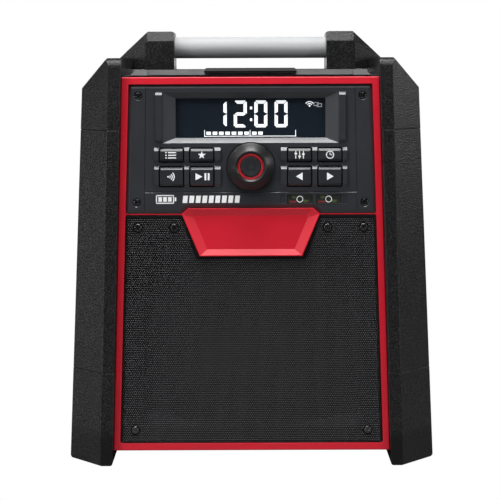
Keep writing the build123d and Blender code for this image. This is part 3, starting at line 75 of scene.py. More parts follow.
class Shader:
    """One node material, wired in code. Its textures lie in the object's own coordinates."""

    def __init__(self, name):
        self.mat = bpy.data.materials.new(name)
        self.mat.use_nodes = True
        self.tree = self.mat.node_tree
        self.bsdf = self.tree.nodes["Principled BSDF"]
        self.place = self.add("ShaderNodeTexCoord").outputs["Object"]

    def add(self, kind, **settings):
        """A new node. A setting is the value of an input, or else one of the node's options."""
        node = self.tree.nodes.new(kind)
        for key, value in settings.items():
            socket = key.replace("_", " ")
            if socket in node.inputs:
                node.inputs[socket].default_value = value
            else:
                setattr(node, key, value)
        return node

    def link(self, source, target):
        self.tree.links.new(source, target)

    def noise(self, scale, detail, stretch=None):
        node = self.add("ShaderNodeTexNoise", Scale=scale, Detail=detail)
        place = self.place
        if stretch:
            mapping = self.add("ShaderNodeMapping", Scale=stretch)
            self.link(self.place, mapping.inputs["Vector"])
            place = mapping.outputs["Vector"]
        self.link(place, node.inputs["Vector"])
        return node.outputs["Fac"]

    def cells(self, scale):
        node = self.add("ShaderNodeTexVoronoi", Scale=scale)
        self.link(self.place, node.inputs["Vector"])
        return node.outputs["Distance"]

    def span(self, value, low, high, start=0.0, end=1.0):
        """A value from start to end, spread over low to high."""
        node = self.add("ShaderNodeMapRange", From_Min=start, From_Max=end, To_Min=low,
                        To_Max=high)
        self.link(value, node.inputs["Value"])
        return node.outputs["Result"]

    def times(self, first, second):
        node = self.add("ShaderNodeMath", operation="MULTIPLY")
        self.link(first, node.inputs[0])
        self.link(second, node.inputs[1])
        return node.outputs[0]

    def blend(self, factor, first, second):
        """A mix of two colours, each a tuple or another node's output."""
        node = self.add("ShaderNodeMix", data_type="RGBA")
        self.link(factor, node.inputs["Factor"])
        for place, value in ((COLOUR_A, first), (COLOUR_B, second)):
            if isinstance(value, tuple):
                node.inputs[place].default_value = (*value, 1)
            else:
                self.link(value, node.inputs[place])
        return node.outputs[COLOUR_RESULT]

    def edges(self, radius):
        """1 along outer edges, 0 elsewhere: how far a rounded normal turns from the true one."""
        bevel = self.add("ShaderNodeBevel", samples=BEVEL_SAMPLES, Radius=radius)
        geometry = self.add("ShaderNodeNewGeometry")
        dot = self.add("ShaderNodeVectorMath", operation="DOT_PRODUCT")
        self.link(bevel.outputs["Normal"], dot.inputs[0])
        self.link(geometry.outputs["Normal"], dot.inputs[1])
        return self.span(dot.outputs["Value"], 1, 0, 0.86, 0.995)

    def bump(self, layers, soften=0.0004):
        """Bump from (height, strength, depth) layers over a slightly rounded edge."""
        bevel = self.add("ShaderNodeBevel", samples=BEVEL_SAMPLES, Radius=soften)
        normal = bevel.outputs["Normal"]
        for height, strength, depth in layers:
            node = self.add("ShaderNodeBump", Strength=strength, Distance=depth)
            self.link(height, node.inputs["Height"])
            self.link(normal, node.inputs["Normal"])
            normal = node.outputs["Normal"]
        self.link(normal, self.bsdf.inputs["Normal"])

    def colour(self, source):
        self.link(source, self.bsdf.inputs["Base Color"])

    def rough(self, source):
        self.link(source, self.bsdf.inputs["Roughness"])

    def fixed(self, **values):
        """Plain values for the surface's own inputs."""
        for key, value in values.items():
            self.bsdf.inputs[key.replace("_", " ")].default_value = value


def shade(colour, factor):
    return tuple(min(1.0, c * factor) for c in colour)


def moulded(name, colour, rough, grain_mm=0.8, grain=0.35, depth=0.00012, wear_and_highlight=0.35,
            soften=0.0004, shine=0.5, glint_grey=0.0):
    """Moulded plastic or rubber: mottled colour, fine grain, edges lightened partly by scuffing and
    partly as a painted highlight, maybe light flecks that are painted glints.
    """
    shader = Shader(name)
    fine = shader.noise(900, 2)
    base = shader.blend(shader.noise(22, 4), shade(colour, 0.82), shade(colour, 1.2))
    base = shader.blend(shader.span(fine, 0, 0.35, 0.55, 0.8), base, shade(colour, 1.7))
    rubbed_and_highlit = shade(colour, 3.2)
    if glint_grey:
        # light flecks on the grain are painted glints, left off the smooth lowest band of the feet
        height = shader.add("ShaderNodeSeparateXYZ")
        shader.link(shader.place, height.inputs["Vector"])
        glint_mask = shader.times(shader.span(shader.noise(1100, 2), 0, 1, 0.50, 0.64),
                               shader.span(height.outputs["Z"], 0, 1, *SMOOTH_BAND))
        base = shader.blend(glint_mask, base, (glint_grey, glint_grey, glint_grey * 1.04))
        rubbed_and_highlit = (glint_grey * 3.2,) * 3
    # edges lightened, partly as scuffing and partly as a painted highlight
    worn_and_highlit = shader.span(shader.noise(160, 3), 0, wear_and_highlight, 0.38, 0.68)
    shader.colour(shader.blend(shader.times(shader.edges(0.0007), worn_and_highlit), base, rubbed_and_highlit))
    shader.rough(shader.span(shader.noise(60, 4), rough - 0.07, rough + 0.09))
    shader.bump([(shader.cells(1000 / grain_mm), grain, depth), (fine, grain / 2, depth / 2)],
                soften)
    shader.fixed(Specular_IOR_Level=shine)
    return shader.mat


def glossy(name, colour, rough):
    """Smooth moulded plastic with a faint orange-peel surface."""
    shader = Shader(name)
    base = shader.blend(shader.noise(18, 3), shade(colour, 0.92), shade(colour, 1.08))
    # edges lightened, partly as scuffing and partly as a painted highlight
    worn_and_highlit = shader.span(shader.noise(140, 3), 0, 0.12, 0.4, 0.7)
    shader.colour(shader.blend(shader.times(shader.edges(0.0005), worn_and_highlit), base,
                               shade(colour, 1.6)))
    shader.rough(shader.span(shader.noise(45, 4), rough - 0.05, rough + 0.07))
    shader.bump([(shader.noise(420, 2), 0.12, 0.00005)])
    return shader.mat


def metal(name, colour, rough, stretch=None, scratch=0.25, metallic=1.0, **values):
    """Metal, brushed along the axis that stretch leaves coarse. With metallic 0 it is coated."""
    shader = Shader(name)
    lines = shader.noise(420, 4, stretch)
    shader.colour(shader.blend(lines, shade(colour, 0.86), shade(colour, 1.08)))
    shader.rough(shader.span(shader.noise(50, 4), rough - 0.06, rough + 0.08))
    shader.fixed(Metallic=metallic, **values)
    shader.bump([(lines, scratch, 0.00003)], 0.0003)
    return shader.mat


def lit(name, colour, strength):
    """A surface that glows in its own colour."""
    shader = Shader(name)
    shader.fixed(Roughness=0.5, Base_Color=(*colour, 1), Emission_Color=(*colour, 1),
                 Emission_Strength=strength)
    return shader.mat


def clear(name, colour, alpha, rough):
    """A see-through window."""
    shader = Shader(name)
    shader.fixed(Base_Color=(*colour, 1), Alpha=alpha)
    shader.rough(shader.span(shader.noise(40, 3), rough, rough + 0.05))
    return shader.mat


def printed(name, colour):
    """Ink, slightly uneven."""
    shader = Shader(name)
    shader.colour(shader.blend(shader.noise(500, 3), shade(colour, 0.86), colour))
    shader.rough(shader.span(shader.noise(120, 2), 0.45, 0.6))
    return shader.mat


# ---- finishes ----
# the guard's light flecks are painted glints, and its edges carry a painted highlight
GUARD = moulded("guard_plastic", (0.0034, 0.0035, 0.0039), 0.36, grain_mm=1.4, grain=0.8,
                depth=0.00028, wear_and_highlight=0.9, soften=0.0009, shine=0.28, glint_grey=0.034)
HOUSING = moulded("housing_plastic", (0.016, 0.017, 0.019), 0.55, grain_mm=0.7, grain=0.4)
DECK = moulded("deck_plastic", (0.010, 0.0105, 0.012), 0.56, grain_mm=0.6)
RED = glossy("red_plastic", (0.60, 0.009, 0.025), 0.36)
PANEL = moulded("panel_plastic", (0.026, 0.028, 0.033), 0.30, grain_mm=0.45, grain=0.10,
                depth=0.00003, wear_and_highlight=0.05, soften=0.00015)
LATCH = moulded("latch_plastic", (0.008, 0.008, 0.009), 0.36, grain_mm=0.5, grain=0.15,
                depth=0.00004, wear_and_highlight=0.1, shine=0.12)
BUTTON = moulded("button_plastic", (0.015, 0.017, 0.020), 0.36, grain_mm=0.4, grain=0.10,
                 depth=0.00003, wear_and_highlight=0.05, soften=0.0003, shine=0.6)
KNOB = moulded("knob_rubber", (0.008, 0.008, 0.009), 0.36, grain_mm=0.4, grain=0.15,
               depth=0.00004, wear_and_highlight=0.1, shine=0.45)
RING = glossy("ring_plastic", (0.36, 0.010, 0.016), 0.3)
LENS = clear("clear_lens", (0.02, 0.03, 0.045), 0.10, 0.05)
SMOKE = clear("smoke_lens", (0.05, 0.05, 0.05), 0.30, 0.08)
LCD = moulded("lcd_glass", (0.0075, 0.0125, 0.0205), 0.32, grain_mm=0.3, grain=0.04,
              depth=0.00001, wear_and_highlight=0.0)
RESIN = glossy("lamp_resin", (0.35, 0.35, 0.3), 0.3)
TRAY = glossy("lamp_tray_resin", (0.06, 0.062, 0.045), 0.4)
GRILLE = metal("grille_metal", (0.006, 0.006, 0.0065), 0.42, scratch=0.2, metallic=0.0,
               Specular_IOR_Level=0.15)
# painted highlight: a light grey for the lower hole walls, which face the lamps above
LIP_HIGHLIGHT = metal("punched_edge_painted_highlight", (0.20, 0.20, 0.21), 0.35, scratch=0.2, metallic=0.0)
CLOTH = moulded("grille_cloth", (0.006, 0.006, 0.0065), 0.9, grain_mm=0.5, grain=0.3,
                depth=0.0001, wear_and_highlight=0.0)
SCREW = metal("screw_steel", (0.012, 0.012, 0.013), 0.16, scratch=0.3, metallic=0.0,
              Coat_Weight=1.0)
TUBE = metal("tube_aluminium", (0.40, 0.404, 0.41), 0.55, (0.03, 1, 1), scratch=0.15,
             metallic=0.0, Specular_IOR_Level=0.15)
PLAIN = moulded("plain_plastic", (0.03, 0.03, 0.033), 0.55)
FRAME = metal("frame_steel", (0.03, 0.03, 0.034), 0.5, scratch=0.2, metallic=0.0)
MAGNET = metal("magnet_steel", (0.2, 0.2, 0.21), 0.5)
CONE = moulded("cone_pulp", (0.018, 0.018, 0.018), 0.85, grain_mm=0.6, grain=0.6)
RUBBER = moulded("soft_rubber", (0.012, 0.012, 0.012), 0.7, grain_mm=0.5, grain=0.3)
BOARD = moulded("circuit_board", (0.01, 0.07, 0.025), 0.4, grain_mm=0.5, grain=0.1)
CORE = metal("core_steel", (0.35, 0.35, 0.37), 0.4, (1, 1, 0.05))
SINK = metal("sink_aluminium", (0.6, 0.6, 0.62), 0.4, (1, 1, 0.05))
PIN = metal("pin_steel", (0.55, 0.55, 0.57), 0.3)
BRASS = metal("blade_brass", (0.7, 0.52, 0.2), 0.3)
WHITE = printed("white_print", (0.92, 0.93, 0.94))
SEGMENT = lit("lit_segment", (0.95, 0.98, 1.0), 0.95)
DIM = lit("dim_segment", (0.5, 0.55, 0.6), 0.45)
LAMP_RED = lit("lamp_red", (0.55, 0.03, 0.03), 0.35)
LAMP_GREEN = lit("lamp_green", (0.16, 0.24, 0.07), 0.25)

FINISH = {
    "guard_plastic": GUARD, "housing_plastic": HOUSING, "red_plastic": RED, "panel_plastic": PANEL,
    "button_plastic": BUTTON, "knob_rubber": KNOB, "ring_plastic": RING, "clear_lens": LENS,
    "lcd_glass": LCD, "lamp_resin": RESIN, "grille_metal": GRILLE, "screw_steel": SCREW,
    "tube_aluminium": TUBE, "plain_plastic": PLAIN, "frame_steel": FRAME, "magnet": MAGNET,
    "cone_paper": CONE, "rubber": RUBBER, "board": BOARD, "core_steel": CORE,
    "sink_aluminium": SINK, "pin_steel": PIN, "blade_brass": BRASS,
}
OWN_FINISH = {"charge_lenses": SMOKE, "storage_lid": DECK, "lid_latch": LATCH}
for part in frame["record"]["subparts"]:
    node = frame["nodes"][part["node"]]
    finish = OWN_FINISH.get(part["node"], FINISH[part["material_slot"]])
    node.data.materials.clear()
    node.data.materials.append(finish)


# ---- mesh helpers ----
def piece(name, points, faces, material, body, slot):
    """A mesh piece that rides on one body."""
    mesh = bpy.data.meshes.new(name)
    mesh.from_pydata([tuple(p) for p in points], [], faces)
    mesh.validate()
    mesh.materials.append(material)
    made = bpy.data.objects.new(name, mesh)
    bpy.context.scene.collection.objects.link(made)
    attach(made, body)
    return made


def plates(name, outlines, back, front, material, body, slot):
    """Flat shapes on the face, each a convex outline of (u, v), from depth back to front."""
    points, faces = [], []
    for outline in outlines:
        start, count = len(points), len(outline)
        area = sum(a[0] * b[1] - b[0] * a[1] for a, b in zip(outline, outline[1:] + outline[:1]))
        ordered = outline if area > 0 else outline[::-1]
        points += [on_face(u, v, back) for u, v in ordered]
        points += [on_face(u, v, front) for u, v in ordered]
        faces.append(tuple(start + count + i for i in range(count)))
        faces.append(tuple(start + i for i in reversed(range(count))))
        for i in range(count):
            j = (i + 1) % count
            faces.append((start + i, start + j, start + count + j, start + count + i))
    piece(name, points, faces, material, body, slot)


def box_outline(u, v, width, tall):
    return [(u - width / 2, v - tall / 2), (u + width / 2, v - tall / 2),
            (u + width / 2, v + tall / 2), (u - width / 2, v + tall / 2)]


def bars_round(u, v, reach_u, reach_v, level, upright):
    """Four bars round a place: level ones below and above it, upright ones on either side."""
    bars = [box_outline(u, v + side * reach_v, *level) for side in (-1, 1)]
    return bars + [box_outline(u + side * reach_u, v, *upright) for side in (-1, 1)]


def arc_band(u, v, inner, outer, start=0, end=360, steps=28):
    """Convex quads that make a flat ring or a stretch of one."""
    quads = []
    for i in range(steps):
        a, b = (math.radians(start + (end - start) * k / steps) for k in (i, i + 1))
        quads.append([(u + inner * math.cos(a), v + inner * math.sin(a)),
                      (u + outer * math.cos(a), v + outer * math.sin(a)),
                      (u + outer * math.cos(b), v + outer * math.sin(b)),
                      (u + inner * math.cos(b), v + inner * math.sin(b))])
    return quads


def arcs(u, v, radii, start, end, steps):
    """Arcs of one thickness round a place."""
    thickness = 0.75
    return [quad for radius in radii
            for quad in arc_band(u, v, radius, radius + thickness, start, end, steps)]


# ---- perforated grille ----
GRILLE_FRONT = -1.6  # depth of its flat border
PITCH = 2.0  # between the centres of neighbouring holes
MOUTH, WAIST = 0.80, 0.52  # radii of a hole at the face, and HOLE_DROP further in
HOLE_DROP = 0.55
HOLE_ROWS, FIRST_ROW = 123, 20.2
COLUMN_REACH = 62  # columns on either side of the middle one
HOLE_TO_OPENING, HOLE_TO_BADGE, HOLE_TO_SCREW = 1.7, 1.9, 4.8  # least, from a hole's centre
# the walls of these facets face up, and are painted lighter as a highlight
LOWER_FACETS = (3, 4)  # of the six round a hole

# the badge cuts into the grille's upper edge, and widens upwards
BADGE_LOW, BADGE_HIGH = 196.5, 236.3
BADGE_HALF_LOW, BADGE_HALF_HIGH = 48.2, 64.8
BADGE_ROWS = 195.4  # holes higher than this keep clear of it

# the pressed field: its limits, the run of its slopes, its depth and its floor's forward bow
FIELD_LOW, FIELD_HIGH = 33.5, 212.0
FIELD_INSET = 20.0  # from the sides of the opening
FIELD_ROUND = 12.0  # radius of its corners
SIDE_RUN, LOW_RUN, HIGH_RUN = 9.0, 14.0, 36.0
FIELD_DEPTH = 3.0
CREST_DEPTH = 0.2  # of the bow's highest line
BOW_RISE = 2.8
BOW_REACH = opening_half(FIELD_LOW) - FIELD_INSET - SIDE_RUN
BOW_RADIUS = (BOW_REACH ** 2 + BOW_RISE ** 2) / (2 * BOW_RISE)

DIMPLE_RADIUS, DIMPLE_RUN, DIMPLE_DEPTH = 5.7, 1.3, 1.0

RIM_LOW, RIM_HIGH, RIM_BADGE = 18.6, 234.8, 195.8
RIM_WIDTH = 2.4
RIM_TO_OPENING, RIM_TO_BADGE = 0.3, 0.6
RIM_BACK, RIM_FRONT = GRILLE_FRONT - 0.9, GRILLE_FRONT - 0.12

CLOTH_LOW, CLOTH_SPLIT, CLOTH_HIGH = 19.8, 194.6, 233.6
CLOTH_DROP = 1.15
CLOTH_TO_OPENING, CLOTH_TO_BADGE = 2.5, 1.0


def badge_half(v):
    widening = (BADGE_HALF_HIGH - BADGE_HALF_LOW) / (BADGE_HIGH - BADGE_LOW)
    return BADGE_HALF_LOW + (v - BADGE_LOW) * widening


def field_share(u, v):
    """How far the slopes of the pressed field have run at a place: 0 outside it, 1 on its floor."""
    across = opening_half(v) - FIELD_INSET - abs(u)
    below, above = v - FIELD_LOW, FIELD_HIGH - v
    along, run = (below, LOW_RUN) if below < above else (above, HIGH_RUN)
    if across <= 0 or along <= 0:
        return 0.0
    share = min(across / SIDE_RUN, below / LOW_RUN, above / HIGH_RUN, 1.0)
    if across < FIELD_ROUND and along < FIELD_ROUND:
        side, end = FIELD_ROUND - across, FIELD_ROUND - along
        slope = (SIDE_RUN * side ** 2 + run * end ** 2) / max(side ** 2 + end ** 2, 1e-6)
        share = min(share, max((FIELD_ROUND - math.hypot(side, end)) / slope, 0.0))
    return share


def grille_depth(u, v):
    """Depth of the grille's face: a pressed field that bows forward, and the screws' dimples."""
    share = field_share(u, v)
    depth = GRILLE_FRONT
    if share > 0:
        floor_depth = depth - CREST_DEPTH - u * u / (2 * BOW_RADIUS)
        depth = min(max(depth - FIELD_DEPTH * share, floor_depth), GRILLE_FRONT)
    for screw_u, screw_v in GRILLE_SCREWS:
        near = math.hypot(abs(u) - screw_u, v - screw_v)
        depth -= DIMPLE_DEPTH * min(max((DIMPLE_RADIUS - near) / DIMPLE_RUN, 0.0), 1.0)
    return depth


def make_grille():
    """The sheet as a net of six-sided cells, each with a hole that narrows inwards. The sides of
    the holes are pieces of their own: dark walls, and the lower lips, painted lighter as a
    highlight."""
    points, faces, shared = [], [], {}
    walls, lips = ([], []), ([], [])

    def corner(u, v):
        """A cell's corner, made once for all the cells that meet there."""
        key = (round(u, 2), round(v, 2))
        if key not in shared:
            shared[key] = len(points)
            points.append(on_face(u, v, grille_depth(u, v)))
        return shared[key]

    angles = [math.radians(30 + 60 * k) for k in range(6)]
    cell_reach = PITCH / math.sqrt(3)
    for row in range(HOLE_ROWS):
        v = FIRST_ROW + row * (PITCH * math.sqrt(3) / 2)
        for column in range(-COLUMN_REACH, COLUMN_REACH + 1):
            u = column * PITCH + (PITCH / 2 if row % 2 else 0)
            if abs(u) > opening_half(v) - HOLE_TO_OPENING:
                continue
            if v > BADGE_ROWS and abs(u) < badge_half(v) + HOLE_TO_BADGE:
                continue
            ring = [corner(u + cell_reach * math.cos(a), v + cell_reach * math.sin(a))
                    for a in angles]
            if any(math.hypot(abs(u) - screw_u, v - screw_v) < HOLE_TO_SCREW
                   for screw_u, screw_v in GRILLE_SCREWS):
                faces.append(tuple(ring))
                continue
            mouth = len(points)
            depth = grille_depth(u, v)
            waist = []
            for radius, at, held in ((MOUTH, depth, points), (WAIST, depth - HOLE_DROP, waist)):
                held.extend(on_face(u + radius * math.cos(a), v + radius * math.sin(a), at)
                            for a in angles)
            for k in range(6):
                n = (k + 1) % 6
                faces.append((ring[k], ring[n], mouth + n, mouth + k))
                # the lower walls take the painted highlight
                held, quads = lips if k in LOWER_FACETS else walls
                quads.append(tuple(len(held) + i for i in range(4)))
                held.extend((points[mouth + k], points[mouth + n], waist[n], waist[k]))
    piece("grille_walls", *walls, GRILLE, "cabinet", "grille_metal")
    piece("grille_lips_painted_highlight", *lips, LIP_HIGHLIGHT, "cabinet", "grille_metal")
    return piece("grille_sheet", points, faces, GRILLE, "cabinet", "grille_metal")


def make_grille_rim():
    """Plain edge strip under the outermost holes, round the outline and the badge."""
    def outline(inset):
        low, high = RIM_LOW + inset, RIM_HIGH - inset
        right = [(opening_half(low) - RIM_TO_OPENING - inset, low),
                 (opening_half(high) - RIM_TO_OPENING - inset, high),
                 (badge_half(high) + RIM_TO_BADGE + inset, high),
                 (badge_half(BADGE_LOW) + RIM_TO_BADGE + inset, RIM_BADGE - inset)]
        return right + [(-u, v) for u, v in reversed(right)]

    outer, inner = outline(0.0), outline(RIM_WIDTH)
    quads = []
    for i in range(len(outer)):
        j = (i + 1) % len(outer)
        quads.append([outer[i], outer[j], inner[j], inner[i]])
    plates("grille_rim", quads, RIM_BACK, RIM_FRONT, GRILLE, "cabinet", "grille_metal")


def make_cloth(name, low, high, start, end, rows, columns):
    """Black acoustic cloth behind a stretch of the grille, on a grid that follows its form."""
    points, faces = [], []
    for i in range(rows + 1):
        v = low + (high - low) * i / rows
        for j in range(columns + 1):
            u = start(v) + (end(v) - start(v)) * j / columns
            points.append(on_face(u, v, grille_depth(u, v) - CLOTH_DROP))
    for i in range(rows):
        for j in range(columns):
            k = i * (columns + 1) + j
            faces.append((k, k + 1, k + columns + 2, k + columns + 1))
    piece(name, points, faces, CLOTH, "cabinet", "grille_metal")


def cloth_side(v):
    return opening_half(v) - CLOTH_TO_OPENING


def cloth_at_badge(v):
    return badge_half(max(v, BADGE_LOW)) + CLOTH_TO_BADGE


sheet = make_grille()
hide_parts("speaker_grille")
make_grille_rim()
make_cloth("grille_cloth", CLOTH_LOW, CLOTH_SPLIT, lambda v: -cloth_side(v), cloth_side, 84, 60)
make_cloth("grille_cloth_left", CLOTH_SPLIT, CLOTH_HIGH, lambda v: -cloth_side(v),
           lambda v: -cloth_at_badge(v), 20, 16)
make_cloth("grille_cloth_right", CLOTH_SPLIT, CLOTH_HIGH, cloth_at_badge, cloth_side, 20, 16)


# ---- lips of the panel's screw holes ----
LIP_INNER, LIP_OUTER = (3.8, -2.1), (4.42, -1.48)  # radius and depth
LIP_STEPS = 36


def make_screw_lips():
    """Conical rings in the seats of the panel's four screws."""
    points, faces = [], []
    for u, v in [(side * u, v) for side in (-1, 1) for u, v in PANEL_SCREWS]:
        start = len(points)
        for k in range(LIP_STEPS):
            a = 2 * math.pi * k / LIP_STEPS
            for radius, depth in (LIP_OUTER, LIP_INNER):
                points.append(on_face(u + radius * math.cos(a), v + radius * math.sin(a), depth))
        for k in range(LIP_STEPS):
            i, j = start + 2 * k, start + 2 * ((k + 1) % LIP_STEPS)
            faces.append((i, j, j + 1, i + 1))
    piece("panel_screw_lips", points, faces, PANEL, "cabinet", "panel_plastic")


make_screw_lips()


# ---- display ----
GLASS, LIT_FRONT, DIM_FRONT = -11.25, -11.13, -11.14  # depths
DIGIT_LOW, DIGIT_HIGH = 317.0, 342.2
DIGITS = (("1", -34.6, -22.4), ("2", -15.8, -3.5), ("0", 3.6, 15.8), ("0", 22.6, 34.8))
COLON_U, COLON_HEIGHTS, COLON_SIZE = 0.5, (324.2, 335.2), (2.1, 2.5)
SCALE_LOW, SCALE_HIGH, SCALE_LINE = 308.5, 314.6, 0.6
SCALE_MIDDLE, SCALE_WIDTH = -0.45, 86.3
SCALE_TICKS = (-43.3, -0.5, 42.4)
SCALE_BLOCKS = [-39.5 + 5.96 * k for k in range(7)] + [3.5, 9.3]
BLOCK_HEIGHT, BLOCK_SIZE = 311.6, (4.3, 2.9)
SOURCE_MARK, SOURCE_DOT = (55.5, 336.6), (55.5, 337.1)
LINK_MARKS = ((61.7, 338.7), (64.7, 337.6))

STROKE_U, STROKE_V = 3.1, 3.0  # thickness of a digit's upright and level strokes
STROKE_CUT, STROKE_GAP = 1.6, 0.3
STROKES_OF = {"0": "top low ur lr ul ll", "1": "ur lr", "2": "top ur mid ll low"}


def digit(char, low_u, high_u):
    """Seven-segment strokes of one digit as convex outlines."""
    wide, tall = high_u - low_u, DIGIT_HIGH - DIGIT_LOW
    half_cut, mid = STROKE_CUT / 2, tall / 2

    def turned(stroke):
        """The same stroke in the lower half."""
        return [(u, tall - v) for u, v in stroke]

    def mirrored(stroke):
        return [(wide - u, v) for u, v in stroke]

    right = [(wide - half_cut, tall - half_cut - STROKE_GAP),
             (wide - STROKE_U, tall - STROKE_V - STROKE_GAP),
             (wide - STROKE_U, mid + STROKE_V / 2 + STROKE_GAP),
             (wide, mid + STROKE_GAP), (wide, tall - STROKE_CUT)]
    top = [(STROKE_CUT, tall), (half_cut + STROKE_GAP, tall - half_cut),
           (STROKE_U + STROKE_GAP, tall - STROKE_V),
           (wide - STROKE_U - STROKE_GAP, tall - STROKE_V),
           (wide - half_cut - STROKE_GAP, tall - half_cut), (wide - STROKE_CUT, tall)]
    centre = [(STROKE_U * 0.3, mid), (STROKE_U, mid + STROKE_V / 2),
              (wide - STROKE_U, mid + STROKE_V / 2), (wide - STROKE_U * 0.3, mid),
              (wide - STROKE_U, mid - STROKE_V / 2), (STROKE_U, mid - STROKE_V / 2)]
    strokes = {"top": top, "low": turned(top), "mid": centre, "ur": right, "lr": turned(right),
               "ul": mirrored(right), "ll": mirrored(turned(right))}
    return [[(low_u + u, DIGIT_LOW + v) for u, v in strokes[name]]
            for name in STROKES_OF[char].split()]


def make_display():
    """Clock digits, a tuning scale, and small marks for the source and the link."""
    lit_marks = [stroke for place in DIGITS for stroke in digit(*place)]
    lit_marks += [box_outline(COLON_U, v, *COLON_SIZE) for v in COLON_HEIGHTS]
    lit_marks += [box_outline(SCALE_MIDDLE, SCALE_LOW + SCALE_LINE / 2, SCALE_WIDTH, SCALE_LINE)]
    lit_marks += [box_outline(u, (SCALE_LOW + SCALE_HIGH) / 2, SCALE_LINE, SCALE_HIGH - SCALE_LOW)
                  for u in SCALE_TICKS]
    lit_marks += [box_outline(u, BLOCK_HEIGHT, *BLOCK_SIZE) for u in SCALE_BLOCKS]
    # two arcs over a dot
    lit_marks += arcs(*SOURCE_MARK, (2.2, 4.0), 35, 145, 10)
    lit_marks += [box_outline(*SOURCE_DOT, 1.5, 1.5)]
    plates("display_segments", lit_marks, GLASS, LIT_FRONT, SEGMENT, "cabinet", "lcd_glass")
    dim_marks = [bar for u, v in LINK_MARKS
                 for bar in bars_round(u, v, 2.1, 1.4, (4.2, 0.5), (0.5, 2.8))]
    plates("display_link_mark", dim_marks, GLASS, DIM_FRONT, DIM, "cabinet", "lcd_glass")


make_display()


# ---- printed marks on the buttons ----
PRINT_BACK, PRINT_FRONT = 1.45, 1.56
MARK_SCALE = 1.18
BUTTON_COLUMNS = (-74.1, -45.7, 45.7, 74.1)
BUTTON_ROWS = ((291.2, ("mode", "preset", "tone", "clock")),
               (271.1, ("pair", "play", "previous", "next")))


def grown(outlines, u, v, factor):
    """Outlines made larger about a place."""
    return [[(u + (a - u) * factor, v + (b - v) * factor) for a, b in o] for o in outlines]


def button_marks(button, u, v):
    """Outlines of the mark on one button."""
    if button == "mode":
        return [box_outline(u + 0.6, v + line, 6.4, 0.9) for line in (-2.1, 0, 2.1)] + \
               [box_outline(u - 4.2, v + line, 1.1, 0.9) for line in (-2.1, 0, 2.1)]
    if button == "preset":
        star = [(u + r * math.cos(a), v + r * math.sin(a)) for r, a in
                ((3.3 if k % 2 == 0 else 1.35, math.radians(90 + 36 * k)) for k in range(10))]
        return [[(u, v), star[k], star[(k + 1) % 10]] for k in range(10)]
    if button == "tone":
        marks = []
        for column, height in ((-3.0, 1.0), (0.0, -1.2), (3.0, 0.5)):
            marks += [box_outline(u + column, v, 0.7, 6.0),
                      box_outline(u + column, v + height, 2.2, 1.1)]
        return marks
    if button == "clock":
        return arc_band(u, v, 2.5, 3.2) + [box_outline(u, v + 0.8, 0.6, 2.2),
                                           box_outline(u + 0.7, v, 1.9, 0.6)]
    if button == "pair":
        return arcs(u - 2.6, v, (1.2, 2.8, 4.4), -42, 42, 8) + [box_outline(u - 2.7, v, 1.2, 1.2)]
    if button == "play":
        return [[(u - 5.0, v - 2.9), (u + 0.4, v), (u - 5.0, v + 2.9)],
                box_outline(u + 2.8, v, 1.5, 5.6), box_outline(u + 5.4, v, 1.5, 5.6)]
    way = -1 if button == "previous" else 1
    return [[(u - way * 2.4, v - 3.1), (u + way * 2.9, v), (u - way * 2.4, v + 3.1)]]


for row_height, row_names in BUTTON_ROWS:
    for column, button in zip(BUTTON_COLUMNS, row_names):
        marks = grown(button_marks(button, column, row_height), column, row_height, MARK_SCALE)
        plates(f"{button}_mark", marks, PRINT_BACK, PRINT_FRONT, WHITE, f"{button}_button",
               "button_plastic")


# ---- charge mark and charge lamps on the panel ----
CHARGE_LINE, CHARGE_LEFT = 249.9, -89.0
BATTERY_CELLS, CELL_STEP = 3, 4.5
CHARGE_BLOCKS, CHARGE_STEP = 9, 6.1
LAMP_LINE, LAMP_PLACES = 249.7, (46.0, 73.0)

# back and front depths
CHARGE_PRINT = (-1.6, -1.42)
LAMP_FRAMES, LAMP_RINGS = (-1.62, -1.34), (-1.78, -1.66)
LAMP_TRAYS, LAMP_BARS = (-6.3, -5.75), (-5.74, -5.66)


def make_charge_mark():
    """A battery outline and a bar of charge blocks, where the panel carries its print."""
    left, v = CHARGE_LEFT, CHARGE_LINE
    marks = bars_round(left + 8.5, v, 8.0, 3.6, (17.0, 1.0), (1.0, 8.2))
    marks += [box_outline(left + 18.3, v, 1.6, 3.6)]
    marks += [box_outline(left + 4.0 + CELL_STEP * k, v, 3.4, 4.4) for k in range(BATTERY_CELLS)]
    for k in range(CHARGE_BLOCKS):
        u = left + 27.5 + CHARGE_STEP * k
        marks.append([(u - 2.6, v - 3.4), (u + 1.8, v - 3.4), (u + 2.6, v + 3.4),
                      (u - 1.8, v + 3.4)])
    plates("charge_mark", marks, *CHARGE_PRINT, WHITE, "cabinet", "panel_plastic")


def make_lamp_windows():
    """Frames, dark trays, coloured bars and rings of the two charge lamps."""
    frames, trays, reds, greens, rings = [], [], [], [], []
    v = LAMP_LINE
    for u in LAMP_PLACES:
        frames += bars_round(u, v, 12.2, 4.55, (24.9, 0.55), (0.55, 8.6))
        trays.append(box_outline(u, v, 22.6, 7.6))
        reds.append(box_outline(u - 6.6, v - 2.6, 6.4, 1.5))
        greens += [box_outline(u + 5.4, v - 2.0, 4.6, 2.4),
                   box_outline(u - 5.6, v + 1.6, 3.6, 2.2)]
        rings += arc_band(u, v, 2.5, 3.1)
    plates("lamp_frames", frames, *LAMP_FRAMES, BUTTON, "cabinet", "panel_plastic")
    plates("lamp_trays", trays, *LAMP_TRAYS, TRAY, "cabinet", "lamp_resin")
    plates("lamp_red_bars", reds, *LAMP_BARS, LAMP_RED, "cabinet", "lamp_resin")
    plates("lamp_green_bars", greens, *LAMP_BARS, LAMP_GREEN, "cabinet", "lamp_resin")
    plates("lamp_rings", rings, *LAMP_RINGS, WHITE, "cabinet", "clear_lens")


make_charge_mark()
make_lamp_windows()


